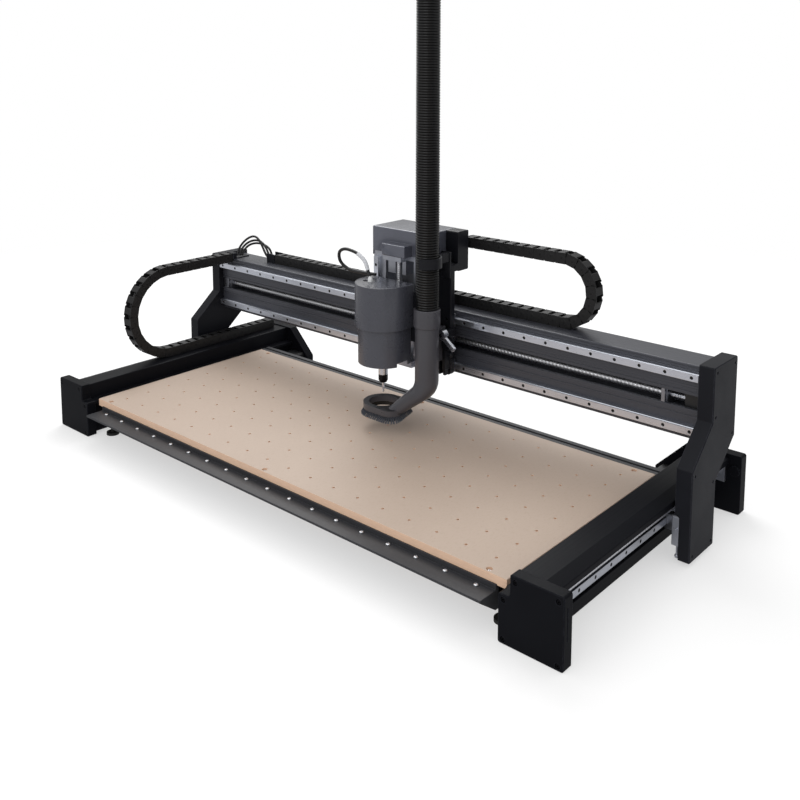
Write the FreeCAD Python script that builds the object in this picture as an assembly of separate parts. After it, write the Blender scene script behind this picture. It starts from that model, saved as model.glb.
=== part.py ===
"""Gantry CNC router: a flat spoilboard frame, a travelling gantry, an X carriage with a Z slide and spindle,
and an adjustable dust shoe. Millimetres. X runs along the gantry, +Y goes to the rear, +Z is up.
The origin is the centre of the spoilboard's top face. The rest position has the carriage near mid travel."""
import FreeCAD, Part
import math
import os

# --- machine frame ---
BOARD_HALF_X = 676.5
BOARD_FRONT_Y = -286.0
BOARD_BACK_Y = 290.0
BOARD_THICK = 19.0
GRID_X = 72.7            # spacing of the threaded holes along X
GRID_Y = 67.5            # and along Y
GRID_COLUMNS = 18
GRID_ROWS = 8
FLOOR_Z = -101.0
CAP_TOP_Z = 37.0
CAP_INNER_X = 681.0
CAP_STEP_X = 706.0
CAP_STEP_Z = -6.0
CAP_OUTER_X = 818.0
FRONT_CAP_Y = (-320.0, -294.5)
REAR_CAP_Y = (424.0, 450.0)
REAR_CAP_INNER_X = 610.0
BEAM_WALL_X = 733.0      # outer wall of the side beam, which carries the Y rail
BEAM_TOP_Z = 34.0
COVER_EDGE_X = 789.0
COVER_EDGE_Z = 26.0
Y_RAIL_Z = -51.0
Y_SCREW_X = 762.0
Y_SCREW_Z = -9.0
Y_MOTOR_X = 655.0
Y_MOTOR_Z = -62.0
MOTOR_HALF = 28.5        # 57 mm square motors drive the Y screws
CAP_SKIN = 5.0
PULLEY_R = 14.0
PULLEY_Y = (432.0, 444.0)
INSERT_R = 5.0
INSERT_LONG = 12.0
HOLE_R = 3.3
THREAD_R = 2.5           # M6 minor radius

# --- linear guides, 15 mm class ---
RAIL = 15.0
RAIL_PITCH = 60.0
BLOCK_RISE = 28.0        # rail base to the top of its block
BLOCK_WIDE = 34.0
BLOCK_LONG = 60.0
RUNNING_GAP = 0.3        # between a block and its rail
SCREW_R = 8.0            # ball screws of the X and Y axes
Z_SCREW_R = 6.0
NUT_GAP = 0.05           # radial running clearance in a ball nut
CLEAR = 0.5              # clearance between parts that pass each other

# --- gantry ---
LEG_X = (797.0, 832.0)
LEG_REBATE_X = 806.5      # the leg's foot is rebated for its carriage plate
LEG_REBATE_Z = 0.0
GANTRY_Y = (240.0, 325.0)
GANTRY_Z = (127.0, 290.0)
X_RAIL_Z = (148.0, 266.0)
X_RAIL_HALF = 795.0
RECESS_Z = (192.0, 223.0)
CAVITY_Z = (182.5, 229.5)  # the wider hollow behind the recess
X_SCREW_Y = 272.0
X_SCREW_Z = 203.5
X_BEARING_RIGHT = (704.0, 716.0)
X_COUPLING = (719.0, 753.0)
X_BEARING_LEFT = (-796.0, -772.0)
SERVO_HALF = 20.0        # 40 mm square servo motors drive X and Z

# --- cable chains ---
CHAIN_WIDE = 33.0
CHAIN_HIGH = 27.0
X_CHAIN_Y = 284.0
X_CHAIN_LOOP_X = 425.0
X_CHAIN_END_X = 133.0
X_CHAIN_START_X = -600.0
X_CHAIN_RADIUS = 91.0    # outer
Y_CHAIN_X = -775.0
Y_CHAIN_LOOP_Y = -1.0
Y_CHAIN_END_Y = 236.0
Y_CHAIN_START_Y = 400.0
Y_CHAIN_BOTTOM_Z = 34.5
Y_CHAIN_RADIUS = 137.0

# --- X carriage and Z axis, about the spindle's axis ---
SPINDLE_X = 30.0
SPINDLE_Y = 90.0
PLATE_HALF_X = 130.0
PLATE_Y = (197.0, 212.0)
PLATE_Z = (134.0, 420.0)
COLUMN_FRONT_Y = 152.0
COLUMN_HALF_X = 88.0
COLUMN_LOW_Z = 150.0
COLUMN_TOP_Z = 420.0
Z_RAIL_OFFSET = 73.0
Z_RAIL_FRONT_Y = 142.0
Z_SLIDE_Y = (124.0, 136.0)
Z_SCREW_Y = 150.0
HOUSING_R = 71.0
HOUSING_LOW_R = 63.0
HOUSING_Z = (170.0, 264.0, 373.0)
SPINDLE_R = 33.0
COLLET_Z = (116.0, 136.0)
BIT_TIP_Z = 90.0
BIT_R = 3.0

# --- dust shoe and hose ---
SHOE_Z = (51.0, 66.0)
SHOE_R = 50.5
SHOE_HOLE_R = 36.0
SHOE_CORNER = (80.0, 51.0)     # right-hand corners, front and back, from the spindle's axis
SHOE_ROUND = (26.0, 12.0)
BRISTLE_Z = 36.0
PIPE_X = 150.0
PIPE_Y = 117.0
PIPE_R = 29.5
PIPE_WALL = 3.0
PIPE_TOP_Z = 276.0
COLLAR_R = 33.0
COLLAR_TOP_Z = 321.0
HOSE_R = 29.2
HOSE_BORE_R = 23.0
HOSE_TOP_Z = 1120.0
SLIDER_X = (PIPE_X - 10, PIPE_X - 1)
LEVER_X = 164.0
LEVER_Y = 152.0
LEVER_Z = 248.0
DUCT_TURN = math.atan2(PIPE_Y - SPINDLE_Y, PIPE_X - SPINDLE_X)
DUCT_REACH = math.hypot(PIPE_X - SPINDLE_X, PIPE_Y - SPINDLE_Y)
DUCT_BEND_Z = 142.0
DUCT_BEND_R = 46.0
DUCT_BEND = math.radians(50)


def vec(x, y, z):
    return FreeCAD.Vector(x, y, z)


def box(x, y, z):
    """A block from three (low, high) pairs."""
    return Part.makeBox(x[1] - x[0], y[1] - y[0], z[1] - z[0], vec(x[0], y[0], z[0]))


def rod(radius, start, direction, length):
    """A cylinder from start along direction."""
    return Part.makeCylinder(radius, length, vec(*start), vec(*direction))


def prism(points, axis, low, high):
    """An outline extruded along axis. The outline's points are in the two other axes, in X, Y, Z order."""
    def place(a, b):
        return {"x": vec(low, a, b), "y": vec(a, low, b), "z": vec(a, b, low)}[axis]

    corners = [place(a, b) for a, b in points]
    face = Part.Face(Part.makePolygon(corners + corners[:1]))
    step = {"x": vec(1, 0, 0), "y": vec(0, 1, 0), "z": vec(0, 0, 1)}[axis]
    return face.extrude(step * (high - low))


def rounded(shape, radius, wanted):
    """Fillet the edges that wanted(edge) picks."""
    edges = [edge for edge in shape.Edges if wanted(edge)]
    return shape.makeFillet(radius, edges)


def along(axis):
    """Picks the straight edges that run along an axis."""
    index = "xyz".index(axis)

    def wanted(edge):
        span = [edge.BoundBox.XLength, edge.BoundBox.YLength, edge.BoundBox.ZLength]
        others = [span[i] for i in range(3) if i != index]
        return max(others) < 1e-3 < span[index]

    return wanted


def mirrored(shape):
    """The same piece on the other side of the machine."""
    return shape.mirror(vec(0, 0, 0), vec(1, 0, 0))


def group(*shapes):
    """Separate solids kept together as one part."""
    solids = [solid for shape in shapes for solid in shape.Solids]
    return Part.makeCompound(solids)


def fused(first, *rest):
    return first.fuse(list(rest)).removeSplitter()


def cut(shape, *tools):
    return shape.cut(Part.makeCompound(list(tools)))


# ---------------------------------------------------------------- frame

def cap_screw_places():
    """(x, z) of the five screws of an end cap."""
    return [(717.0, 24.5), (692.0, -17.0), (806.0, 24.5), (692.0, -92.0), (806.0, -92.0)]


def front_end_caps():
    outline = [
        (CAP_INNER_X, FLOOR_Z),
        (CAP_OUTER_X, FLOOR_Z),
        (CAP_OUTER_X, CAP_TOP_Z),
        (CAP_STEP_X, CAP_TOP_Z),
        (CAP_STEP_X, CAP_STEP_Z),
        (CAP_INNER_X, CAP_STEP_Z),
    ]
    cap = rounded(prism(outline, "y", *FRONT_CAP_Y), 5.0, along("y"))
    front = FRONT_CAP_Y[0]
    cap = cap.makeChamfer(1.5, [e for e in cap.Edges if abs(e.BoundBox.YMax - front) < 1e-3])
    holes = [rod(3.2, (x, front - 1, z), (0, 1, 0), 40) for x, z in cap_screw_places()]
    heads = [rod(5.6, (x, front - 1, z), (0, 1, 0), 4.5) for x, z in cap_screw_places()]
    slot = box((CAP_OUTER_X - 4, CAP_OUTER_X + 1), (-311.0, -308.0), (-48.0, 15.0))
    cap = cut(cap, slot, *holes, *heads)
    return group(cap, mirrored(cap))


def rear_cap_outline(inset):
    """The rear cap's outline, shrunk by inset, with its inner top corner cut at 45 degrees."""
    slope = 80.0
    return [
        (REAR_CAP_INNER_X + inset, FLOOR_Z + inset),
        (CAP_OUTER_X - inset, FLOOR_Z + inset),
        (CAP_OUTER_X - inset, CAP_TOP_Z - inset),
        (REAR_CAP_INNER_X + slope + 0.4 * inset, CAP_TOP_Z - inset),
        (REAR_CAP_INNER_X + inset, CAP_TOP_Z - slope - 0.4 * inset),
    ]


def rear_end_caps():
    """A tray open to the rear. It holds the belt that joins the motor to the screw."""
    cap = rounded(prism(rear_cap_outline(0), "y", *REAR_CAP_Y), 5.0, along("y"))
    hollow = prism(rear_cap_outline(CAP_SKIN), "y", REAR_CAP_Y[0] + CAP_SKIN, REAR_CAP_Y[1] + 1)
    boss = rod(12.0, (803.0, REAR_CAP_Y[0] - 4, 0.0), (0, 1, 0), 5)
    openings = [
        rod(11.0, (Y_SCREW_X, REAR_CAP_Y[0] - 1, Y_SCREW_Z), (0, 1, 0), 10),
        rod(19.5, (Y_MOTOR_X, REAR_CAP_Y[0] - 1, Y_MOTOR_Z), (0, 1, 0), 10),
    ]
    cap = cut(fused(cut(cap, hollow), boss), *openings)
    return group(cap, mirrored(cap))


def rear_cap_covers():
    """The plates that close the rear caps."""
    gap = 0.4
    plate = prism(rear_cap_outline(CAP_SKIN + gap), "y", REAR_CAP_Y[1] - 3, REAR_CAP_Y[1])
    return group(plate, mirrored(plate))


def side_beam_outline():
    """The side beam's section in X and Z: a box with an inner ledge, a foot and an overhanging cover."""
    return [
        (690.0, -95.0),
        (746.0, -95.0),
        (746.0, -69.5),
        (BEAM_WALL_X, -69.5),
        (BEAM_WALL_X, 16.0),
        (COVER_EDGE_X - 4, 16.0),
        (COVER_EDGE_X - 4, 14.0),
        (COVER_EDGE_X, 14.0),
        (COVER_EDGE_X, COVER_EDGE_Z),
        (762.0, BEAM_TOP_Z),
        (709.5, BEAM_TOP_Z),
        (709.5, CAP_STEP_Z - 1),
        (CAP_INNER_X, CAP_STEP_Z - 1),
        (CAP_INNER_X, CAP_STEP_Z - 9),
        (690.0, CAP_STEP_Z - 9),
    ]


def side_beams():
    low, high = FRONT_CAP_Y[1], REAR_CAP_Y[0]
    beam = prism(side_beam_outline(), "y", low, high)
    beam = rounded(beam, 2.5, lambda e: along("y")(e) and e.BoundBox.ZMin > 25)
    upper = prism([(714, 4), (728, 4), (728, 28), (714, 28)], "y", low - 1, high + 1)
    lower = prism([(695, -89), (727, -89), (727, -4), (714, -4), (695, -20)], "y", low - 1, high + 1)
    beam = cut(beam, upper, lower)
    return group(beam, mirrored(beam))


def drilled_rail(rail, centres, direction, back):
    """A guide rail with counterbored screw holes. back is the depth from its face to its base."""
    cuts = []
    for centre in centres:
        cuts.append(rod(2.3, centre, direction, back + 1))
        cuts.append(rod(3.8, centre, direction, 5.5))
    return cut(rail, *cuts)


def rail_section(wide, high):
    """A guide rail's section, with its ball grooves, as (across, up) from the middle of its base."""
    half = wide / 2
    return [
        (-half, 0),
        (half, 0),
        (half, high * 0.45),
        (half - 1.5, high * 0.55),
        (half - 1.5, high * 0.7),
        (half, high * 0.8),
        (half, high),
        (-half, high),
        (-half, high * 0.8),
        (-half + 1.5, high * 0.7),
        (-half + 1.5, high * 0.55),
        (-half, high * 0.45),
    ]


def y_rails():
    low, high = FRONT_CAP_Y[1] + 2, REAR_CAP_Y[0] - 2
    section = [(BEAM_WALL_X + up, Y_RAIL_Z + across) for across, up in rail_section(RAIL, RAIL)]
    rail = prism(section, "y", low, high)
    face = BEAM_WALL_X + RAIL
    places = [(face, 26.0 + RAIL_PITCH * k, Y_RAIL_Z) for k in range(-5, 7)]
    rail = drilled_rail(rail, places, (-1, 0, 0), RAIL)
    return group(rail, mirrored(rail))


def y_screw_bearings():
    """Bearing blocks at both ends of each Y screw, under the beam's cover."""
    blocks = []
    for low, high in ((FRONT_CAP_Y[1], FRONT_CAP_Y[1] + 16), (REAR_CAP_Y[0] - 8, REAR_CAP_Y[0])):
        block = box((BEAM_WALL_X, COVER_EDGE_X - 6), (low, high), (Y_SCREW_Z - 20, Y_SCREW_Z + 20))
        bore = rod(SCREW_R - 2 + NUT_GAP, (Y_SCREW_X, low - 1, Y_SCREW_Z), (0, 1, 0), high - low + 2)
        block = cut(block, bore)
        blocks += [block, mirrored(block)]
    return group(*blocks)


def y_screw():
    """One Y screw: the threaded length, two journals and the toothed pulley in the rear cap."""
    front, rear = FRONT_CAP_Y[1] + 16 + CLEAR, REAR_CAP_Y[0] - 8 - CLEAR
    thread = rod(SCREW_R, (Y_SCREW_X, front, Y_SCREW_Z), (0, 1, 0), rear - front)
    journal = rod(SCREW_R - 2, (Y_SCREW_X, front - 15, Y_SCREW_Z), (0, 1, 0), rear - front + 15 + 28)
    pulley = pulley_at(Y_SCREW_X, Y_SCREW_Z)
    return fused(thread, journal, pulley)


def pulley_at(x, z):
    """A flanged pulley inside the rear cap."""
    low, high = PULLEY_Y
    wheel = rod(PULLEY_R, (x, low, z), (0, 1, 0), high - low)
    flanges = [rod(PULLEY_R + 2.5, (x, y, z), (0, 1, 0), 1.0) for y in (low - 1, high)]
    return fused(wheel, *flanges)


def y_screw_right():
    return y_screw()


def y_screw_left():
    return mirrored(y_screw())


def y_motors():
    """Stepper motors inboard of the rear caps: a square body with chamfered corners, and a pilot ring."""
    low, high = REAR_CAP_Y[0] - 76, REAR_CAP_Y[0]
    x = (Y_MOTOR_X - MOTOR_HALF, Y_MOTOR_X + MOTOR_HALF)
    z = (Y_MOTOR_Z - MOTOR_HALF, Y_MOTOR_Z + MOTOR_HALF)
    body = box(x, (low, high), z)
    body = body.makeChamfer(4.0, [e for e in body.Edges if along("y")(e)])
    pilot = rod(19.0, (Y_MOTOR_X, high, Y_MOTOR_Z), (0, 1, 0), 1.6)
    bore = rod(4.0 + NUT_GAP, (Y_MOTOR_X, high - 20, Y_MOTOR_Z), (0, 1, 0), 30)
    motor = cut(fused(body, pilot), bore)
    return group(motor, mirrored(motor))


def y_motor_pulley():
    shaft = rod(4.0, (Y_MOTOR_X, REAR_CAP_Y[0] - 19, Y_MOTOR_Z), (0, 1, 0), PULLEY_Y[1] - REAR_CAP_Y[0] + 19)
    return fused(pulley_at(Y_MOTOR_X, Y_MOTOR_Z), shaft)


def y_motor_pulley_right():
    return y_motor_pulley()


def y_motor_pulley_left():
    return mirrored(y_motor_pulley())


def belt_round(inner, low, high):
    """A stadium round both pulleys of a rear cap."""
    dx, dz = Y_SCREW_X - Y_MOTOR_X, Y_SCREW_Z - Y_MOTOR_Z
    length = math.hypot(dx, dz)
    straight = box((0, length), (low, high), (-inner, inner))
    straight.rotate(vec(0, 0, 0), vec(0, 1, 0), -math.degrees(math.atan2(dz, dx)))
    straight.translate(vec(Y_MOTOR_X, 0, Y_MOTOR_Z))
    ends = [rod(inner, (x, low, z), (0, 1, 0), high - low)
            for x, z in ((Y_MOTOR_X, Y_MOTOR_Z), (Y_SCREW_X, Y_SCREW_Z))]
    return fused(straight, *ends)


def y_drive_belts():
    low, high = PULLEY_Y[0] + 1, PULLEY_Y[1] - 1
    belt = cut(belt_round(PULLEY_R + 1.8, low, high), belt_round(PULLEY_R + 0.1, low - 1, high + 1))
    return group(belt, mirrored(belt))


def cross_members():
    """Bars under the spoilboard, from side beam to side beam, and the rear bar that closes the frame."""
    top = -BOARD_THICK
    bars = [box((-690, 690), (y - 22, y + 22), (top - 44, top)) for y in (-140, 0, 140)]
    rear = box((-680.5, 680.5), (BOARD_BACK_Y + 1, BOARD_BACK_Y + 35), (-66.0, -1.0))
    shelf = box((-676, 676), (BOARD_BACK_Y - 29, BOARD_BACK_Y + 1), (-66.0, top))
    rear = fused(rear, shelf)
    grooves = [box((-700, 700), (BOARD_BACK_Y + 14, BOARD_BACK_Y + 22), (-8.0, 0.0))]
    bars = [cut(bar, box((-700, 700), (y - 14, y + 14), (top - 37, top - 7)))
            for bar, y in zip(bars, (-140, 0, 140))]
    return group(cut(rear, *grooves), *bars)


def nose_outline():
    """The front extrusion's section in Y and Z: a beam under the board and a ledge with a sloping underside."""
    front = BOARD_FRONT_Y
    return [
        (front + 46, -66.0),
        (front - 4, -66.0),
        (front - 51, -32.0),
        (front - 51, -27.0),
        (front - 4, -27.0),
        (front - 4, -16.5),
        (front - 0.5, -16.5),
        (front - 0.5, -BOARD_THICK),
        (front + 46, -BOARD_THICK),
    ]


def nose_screw_places():
    return [(GRID_X * (k - (GRID_COLUMNS - 1) / 2), BOARD_FRONT_Y - 14.0) for k in range(GRID_COLUMNS)]


def front_nose():
    nose = prism(nose_outline(), "x", -655.0, 655.0)
    hollow = prism([(-281, -60), (-246, -60), (-246, -25), (-281, -25)], "x", -660.0, 660.0)
    holes = [rod(3.2, (x, y, -60.0), (0, 0, 1), 40) for x, y in nose_screw_places()]
    return cut(nose, hollow, *holes)


def board_screw_places():
    return [(x, y) for x in (-630.5, 0.0, 630.5) for y in (-276.4, 276.4)]


def grid_places():
    return [
        (GRID_X * (i - (GRID_COLUMNS - 1) / 2), GRID_Y * (j - (GRID_ROWS - 1) / 2))
        for i in range(GRID_COLUMNS)
        for j in range(GRID_ROWS)
    ]


def wasteboard():
    board = box((-BOARD_HALF_X, BOARD_HALF_X), (BOARD_FRONT_Y, BOARD_BACK_Y), (-BOARD_THICK, 0.0))
    board = board.makeChamfer(0.8, [e for e in board.Edges if e.BoundBox.ZMin > -1e-3])
    cuts = []
    for x, y in grid_places():
        cuts.append(rod(HOLE_R, (x, y, -BOARD_THICK - 1), (0, 0, 1), BOARD_THICK + 2))
        cuts.append(rod(INSERT_R, (x, y, -BOARD_THICK - 1), (0, 0, 1), INSERT_LONG + 1))
    for x, y in board_screw_places():
        cuts.append(rod(3.2, (x, y, -BOARD_THICK - 1), (0, 0, 1), BOARD_THICK + 2))
        cuts.append(rod(6.5, (x, y, -6.0), (0, 0, 1), 7))
    return cut(board, *cuts)


def threaded_inserts():
    """Metal inserts pressed into the underside of the board, one under each hole of the grid."""
    sleeves = []
    for x, y in grid_places():
        sleeve = rod(INSERT_R, (x, y, -BOARD_THICK), (0, 0, 1), INSERT_LONG)
        sleeves.append(cut(sleeve, rod(THREAD_R, (x, y, -BOARD_THICK - 1), (0, 0, 1), INSERT_LONG + 2)))
    return group(*sleeves)


def button_head(x, y, z, direction, shank):
    """A socket button-head screw: head on the far side of (x, y, z) from the shank's direction."""
    away = [-d for d in direction]
    head = rod(5.0, (x, y, z), away, 2.8)
    head = head.makeFillet(2.0, [max(head.Edges, key=lambda e: e.CenterOfMass.dot(vec(*away)))])
    socket_start = [p + a * 1.2 for p, a in zip((x, y, z), away)]
    socket = rod(1.8, socket_start, away, 3)
    return cut(fused(head, rod(3.0, (x, y, z), direction, shank)), socket)


def frame_screws():
    """The button-head screws of the nose, the board and the front end caps."""
    screws = [button_head(x, y, -27.0, (0, 0, -1), 10) for x, y in nose_screw_places()]
    screws += [button_head(x, y, -6.0, (0, 0, -1), 12.5) for x, y in board_screw_places()]
    front = FRONT_CAP_Y[0]
    for x, z in cap_screw_places():
        screw = button_head(x, front + 3.5, z, (0, 1, 0), 18)
        screws += [screw, mirrored(screw)]
    return group(*screws)


def levelling_feet():
    """Adjustable feet under the frame: a pad, a stem and a lock nut."""
    feet = []
    for x in (-652.0, 652.0):
        for y in (-262.0, 306.0):
            pad = rod(17.0, (x, y, FLOOR_Z), (0, 0, 1), 7)
            stem = rod(5.0, (x, y, FLOOR_Z + 7), (0, 0, 1), -66.0 - FLOOR_Z - 7)
            nut = rod(8.5, (x, y, -74.0), (0, 0, 1), 8)
            feet.append(fused(pad, stem, nut))
    return group(*feet)


# ---------------------------------------------------------------- gantry

def leg():
    """An upright: a block at the rail, a waist that leans back, and a block that holds the beam."""
    outline = [
        (135.0, -92.7),
        (249.0, -92.7),
        (249.0, 47.0),
        (338.6, 122.0),
        (338.6, 299.0),
        (223.0, 299.0),
        (223.0, 180.5),
        (135.0, 104.0),
    ]
    upright = rounded(prism(outline, "x", *LEG_X), 4.0, along("x"))
    outer = LEG_X[1]
    rim = [e for e in upright.Edges if abs(e.BoundBox.XMin - outer) < 1e-3]
    upright = upright.makeChamfer(2.0, rim)
    places = [(236, 286), (325, 286), (236, 190), (325, 130), (148, 92), (148, -80), (236, -80), (236, 50)]
    sinks = [rod(3.6, (outer - 4, y, z), (1, 0, 0), 5) for y, z in places]
    inside, step = LEG_X[0] - 1, (LEG_REBATE_X, LEG_REBATE_Z)
    rebate = prism([(inside, LEG_REBATE_Z + 6), step, (LEG_REBATE_X, -95), (inside, -95)], "y", 130.0, 252.0)
    return cut(upright, rebate, *sinks)


def gantry_leg_right():
    """The right leg, with a pocket in its inner side for the end of the X motor."""
    half = SERVO_HALF + 1
    y, z = (X_SCREW_Y - half, X_SCREW_Y + half), (X_SCREW_Z - half, X_SCREW_Z + half)
    pocket = box((LEG_X[0] - 1, LEG_X[1] - 5), y, z)
    return cut(leg(), pocket)


def gantry_leg_left():
    return mirrored(leg())


def gantry_beam():
    """The gantry's extrusion, with a recess for the X screw between its two rail faces."""
    y0, y1 = GANTRY_Y
    z0, z1 = GANTRY_Z
    half = LEG_X[0]
    beam = rounded(box((-half, half), (y0, y1), (z0, z1)), 3.0, along("x"))
    reach = (-half - 1, half + 1)
    cuts = [
        box(reach, (y0 - 1, y0 + 11), RECESS_Z),
        box(reach, (y0 + 10, y0 + 56), CAVITY_Z),
        box(reach, (y0 + 8, y1 - 8), (z0 + 8, CAVITY_Z[0] - 4.5)),
        box(reach, (y0 + 8, y1 - 8), (CAVITY_Z[1] + 7.5, z1 - 8)),
        box(reach, (y0 - 1, y0 + 1.5), (283.5, 286.0)),
        box(reach, (y0 - 1, y0 + 1.5), (277.5, 279.5)),
        box(reach, (y0 - 1, y0 + 1.5), (230.0, 232.5)),
        box(reach, (y0 - 1, y0 + 1.5), (177.0, 179.5)),
        box(reach, (y1 - 4, y1 + 1), (150.0, 158.0)),
        box(reach, (y1 - 4, y1 + 1), (258.0, 266.0)),
    ]
    return cut(beam, *cuts)


def x_rails():
    rails = []
    for z in X_RAIL_Z:
        section = [(GANTRY_Y[0] - up, z + across) for across, up in rail_section(RAIL, RAIL)]
        rail = prism(section, "x", -X_RAIL_HALF, X_RAIL_HALF)
        face = GANTRY_Y[0] - RAIL
        places = [(RAIL_PITCH * k, face, z) for k in range(-13, 14)]
        rails.append(drilled_rail(rail, places, (0, 1, 0), RAIL))
    return group(*rails)


def x_screw_bearings():
    face = GANTRY_Y[0]
    blocks = []
    for low, high in (X_BEARING_LEFT, X_BEARING_RIGHT):
        block = box((low, high), (face + 11.5, face + 55.5), (CAVITY_Z[0] + 0.5, CAVITY_Z[1] - 0.5))
        nose = box((low + 2, high - 2), (face + 2, face + 12), (RECESS_Z[0] + 0.5, RECESS_Z[1] - 0.5))
        bore = rod(SCREW_R - 2 + NUT_GAP, (low - 1, X_SCREW_Y, X_SCREW_Z), (1, 0, 0), high - low + 2)
        blocks.append(cut(fused(block, nose), bore))
    return group(*blocks)


def x_screw():
    low, high = X_BEARING_LEFT[1] + CLEAR, X_BEARING_RIGHT[0] - CLEAR
    thread = rod(SCREW_R, (low, X_SCREW_Y, X_SCREW_Z), (1, 0, 0), high - low)
    journal = rod(SCREW_R - 2, (low - 20, X_SCREW_Y, X_SCREW_Z), (1, 0, 0), X_COUPLING[1] + 10 - low + 20)
    start, end = X_COUPLING
    coupling = rod(SCREW_R + 2, (start, X_SCREW_Y, X_SCREW_Z), (1, 0, 0), end - start)
    return fused(thread, journal, coupling)


def x_motor():
    low = X_COUPLING[1] + 3
    y = (X_SCREW_Y - SERVO_HALF, X_SCREW_Y + SERVO_HALF)
    z = (X_SCREW_Z - SERVO_HALF, X_SCREW_Z + SERVO_HALF)
    body = box((low, LEG_X[1] - 6), y, z)
    body = body.makeChamfer(3.0, [e for e in body.Edges if along("x")(e)])
    return cut(body, rod(SCREW_R - 2 + NUT_GAP, (low - 1, X_SCREW_Y, X_SCREW_Z), (1, 0, 0), 20))


def y_carriage_plates():
    """Plates let into the feet of the legs, each with a spacer, a grease nipple and a ball-ended pin."""
    inner = BEAM_WALL_X + BLOCK_RISE
    front, back = 137.0, 248.0
    plate = box((790.0, LEG_REBATE_X), (front, back), (-64.0, LEG_REBATE_Z))
    plate = plate.makeChamfer(1.5, [e for e in plate.Edges if abs(e.BoundBox.YMax - front) < 1e-3])
    spacer = box((inner, 791.0), (200.0, back), (-68.0, -32.0))
    nipple = rod(2.6, (801.0, front + 1, -27.0), (0, -1, 0), 7)
    stem = rod(2.4, (801.0, front + 6, -63.0), (0, 0, -1), 24)
    ball = Part.makeSphere(5.0, vec(801.0, front + 6, -87.0))
    shape = fused(plate, spacer, nipple, stem, ball)
    return group(shape, mirrored(shape))


def linear_block(length):
    """A block that rides a 15 mm rail lying along X with its base at Z 0, centred on the origin."""
    half = BLOCK_WIDE / 2
    body = box((-length / 2, length / 2), (-half, half), (4, BLOCK_RISE))
    body = body.makeChamfer(1.5, [e for e in body.Edges if along("x")(e)])
    groove = prism(
        [(-RAIL / 2 - RUNNING_GAP, -1), (RAIL / 2 + RUNNING_GAP, -1),
         (RAIL / 2 + RUNNING_GAP, RAIL + RUNNING_GAP), (-RAIL / 2 - RUNNING_GAP, RAIL + RUNNING_GAP)],
        "x", -length / 2 - 1, length / 2 + 1)
    seams = [
        cut(box((x - 0.5, x + 0.5), (-half - 1, half + 1), (0, BLOCK_RISE + 1)),
            box((x - 1, x + 1), (-half + 0.6, half - 0.6), (-1, BLOCK_RISE - 0.6)))
        for x in (-length / 2 + 9, length / 2 - 9)
    ]
    return cut(body, groove, *seams)


def turned(shape, axis, angle):
    """A copy turned about an axis through the origin."""
    copy = shape.copy()
    copy.rotate(vec(0, 0, 0), vec(*axis), angle)
    return copy


def moved(shape, x, y, z):
    copy = shape.copy()
    copy.translate(vec(x, y, z))
    return copy


def y_linear_blocks():
    on_side = turned(turned(linear_block(BLOCK_LONG - 12), (0, 0, 1), 90), (0, 1, 0), 90)
    block = moved(on_side, BEAM_WALL_X, 224.0, Y_RAIL_Z)
    return group(block, mirrored(block))


def y_ball_nuts():
    """Ball nuts on the Y screws, each with a flange and a block that bolts to its carriage plate."""
    nut = rod(14.0, (Y_SCREW_X, 205.0, Y_SCREW_Z), (0, 1, 0), 40)
    flange = box((Y_SCREW_X - 18, 790.0), (205.0, 215.0), (Y_SCREW_Z - 18, Y_SCREW_Z + 9))
    bore = rod(SCREW_R + NUT_GAP, (Y_SCREW_X, 204.0, Y_SCREW_Z), (0, 1, 0), 42)
    shape = cut(fused(nut, flange), bore)
    return group(shape, mirrored(shape))


def x_chain_section(x, z):
    """A straight run of the X chain, from its X and Z ranges."""
    return rounded(box(x, (X_CHAIN_Y, X_CHAIN_Y + CHAIN_WIDE), z), 2.0, along("x"))


def x_chain_lower_run():
    z = GANTRY_Z[1]
    return x_chain_section((X_CHAIN_START_X, X_CHAIN_LOOP_X), (z, z + CHAIN_HIGH))


def x_chain_upper_run():
    z = GANTRY_Z[1] + 2 * X_CHAIN_RADIUS
    return x_chain_section((X_CHAIN_END_X, X_CHAIN_LOOP_X), (z - CHAIN_HIGH, z))


def x_chain_loop():
    centre_z = GANTRY_Z[1] + X_CHAIN_RADIUS
    start = (X_CHAIN_LOOP_X, X_CHAIN_Y, centre_z)
    ring = cut(
        rod(X_CHAIN_RADIUS, start, (0, 1, 0), CHAIN_WIDE),
        rod(X_CHAIN_RADIUS - CHAIN_HIGH, (start[0], start[1] - 1, start[2]), (0, 1, 0), CHAIN_WIDE + 2),
    )
    keep = box((X_CHAIN_LOOP_X, X_CHAIN_LOOP_X + 200), (X_CHAIN_Y - 1, X_CHAIN_Y + CHAIN_WIDE + 1),
               (centre_z - 200, centre_z + 200))
    return ring.common(keep)


def y_chain_section(y, z):
    return rounded(box((Y_CHAIN_X, Y_CHAIN_X + CHAIN_WIDE), y, z), 2.0, along("y"))


def y_chain_lower_run():
    z = (Y_CHAIN_BOTTOM_Z, Y_CHAIN_BOTTOM_Z + CHAIN_HIGH)
    return y_chain_section((Y_CHAIN_LOOP_Y, Y_CHAIN_START_Y), z)


def y_chain_upper_run():
    top = Y_CHAIN_BOTTOM_Z + 2 * Y_CHAIN_RADIUS
    return y_chain_section((Y_CHAIN_LOOP_Y, Y_CHAIN_END_Y), (top - CHAIN_HIGH, top))


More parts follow.
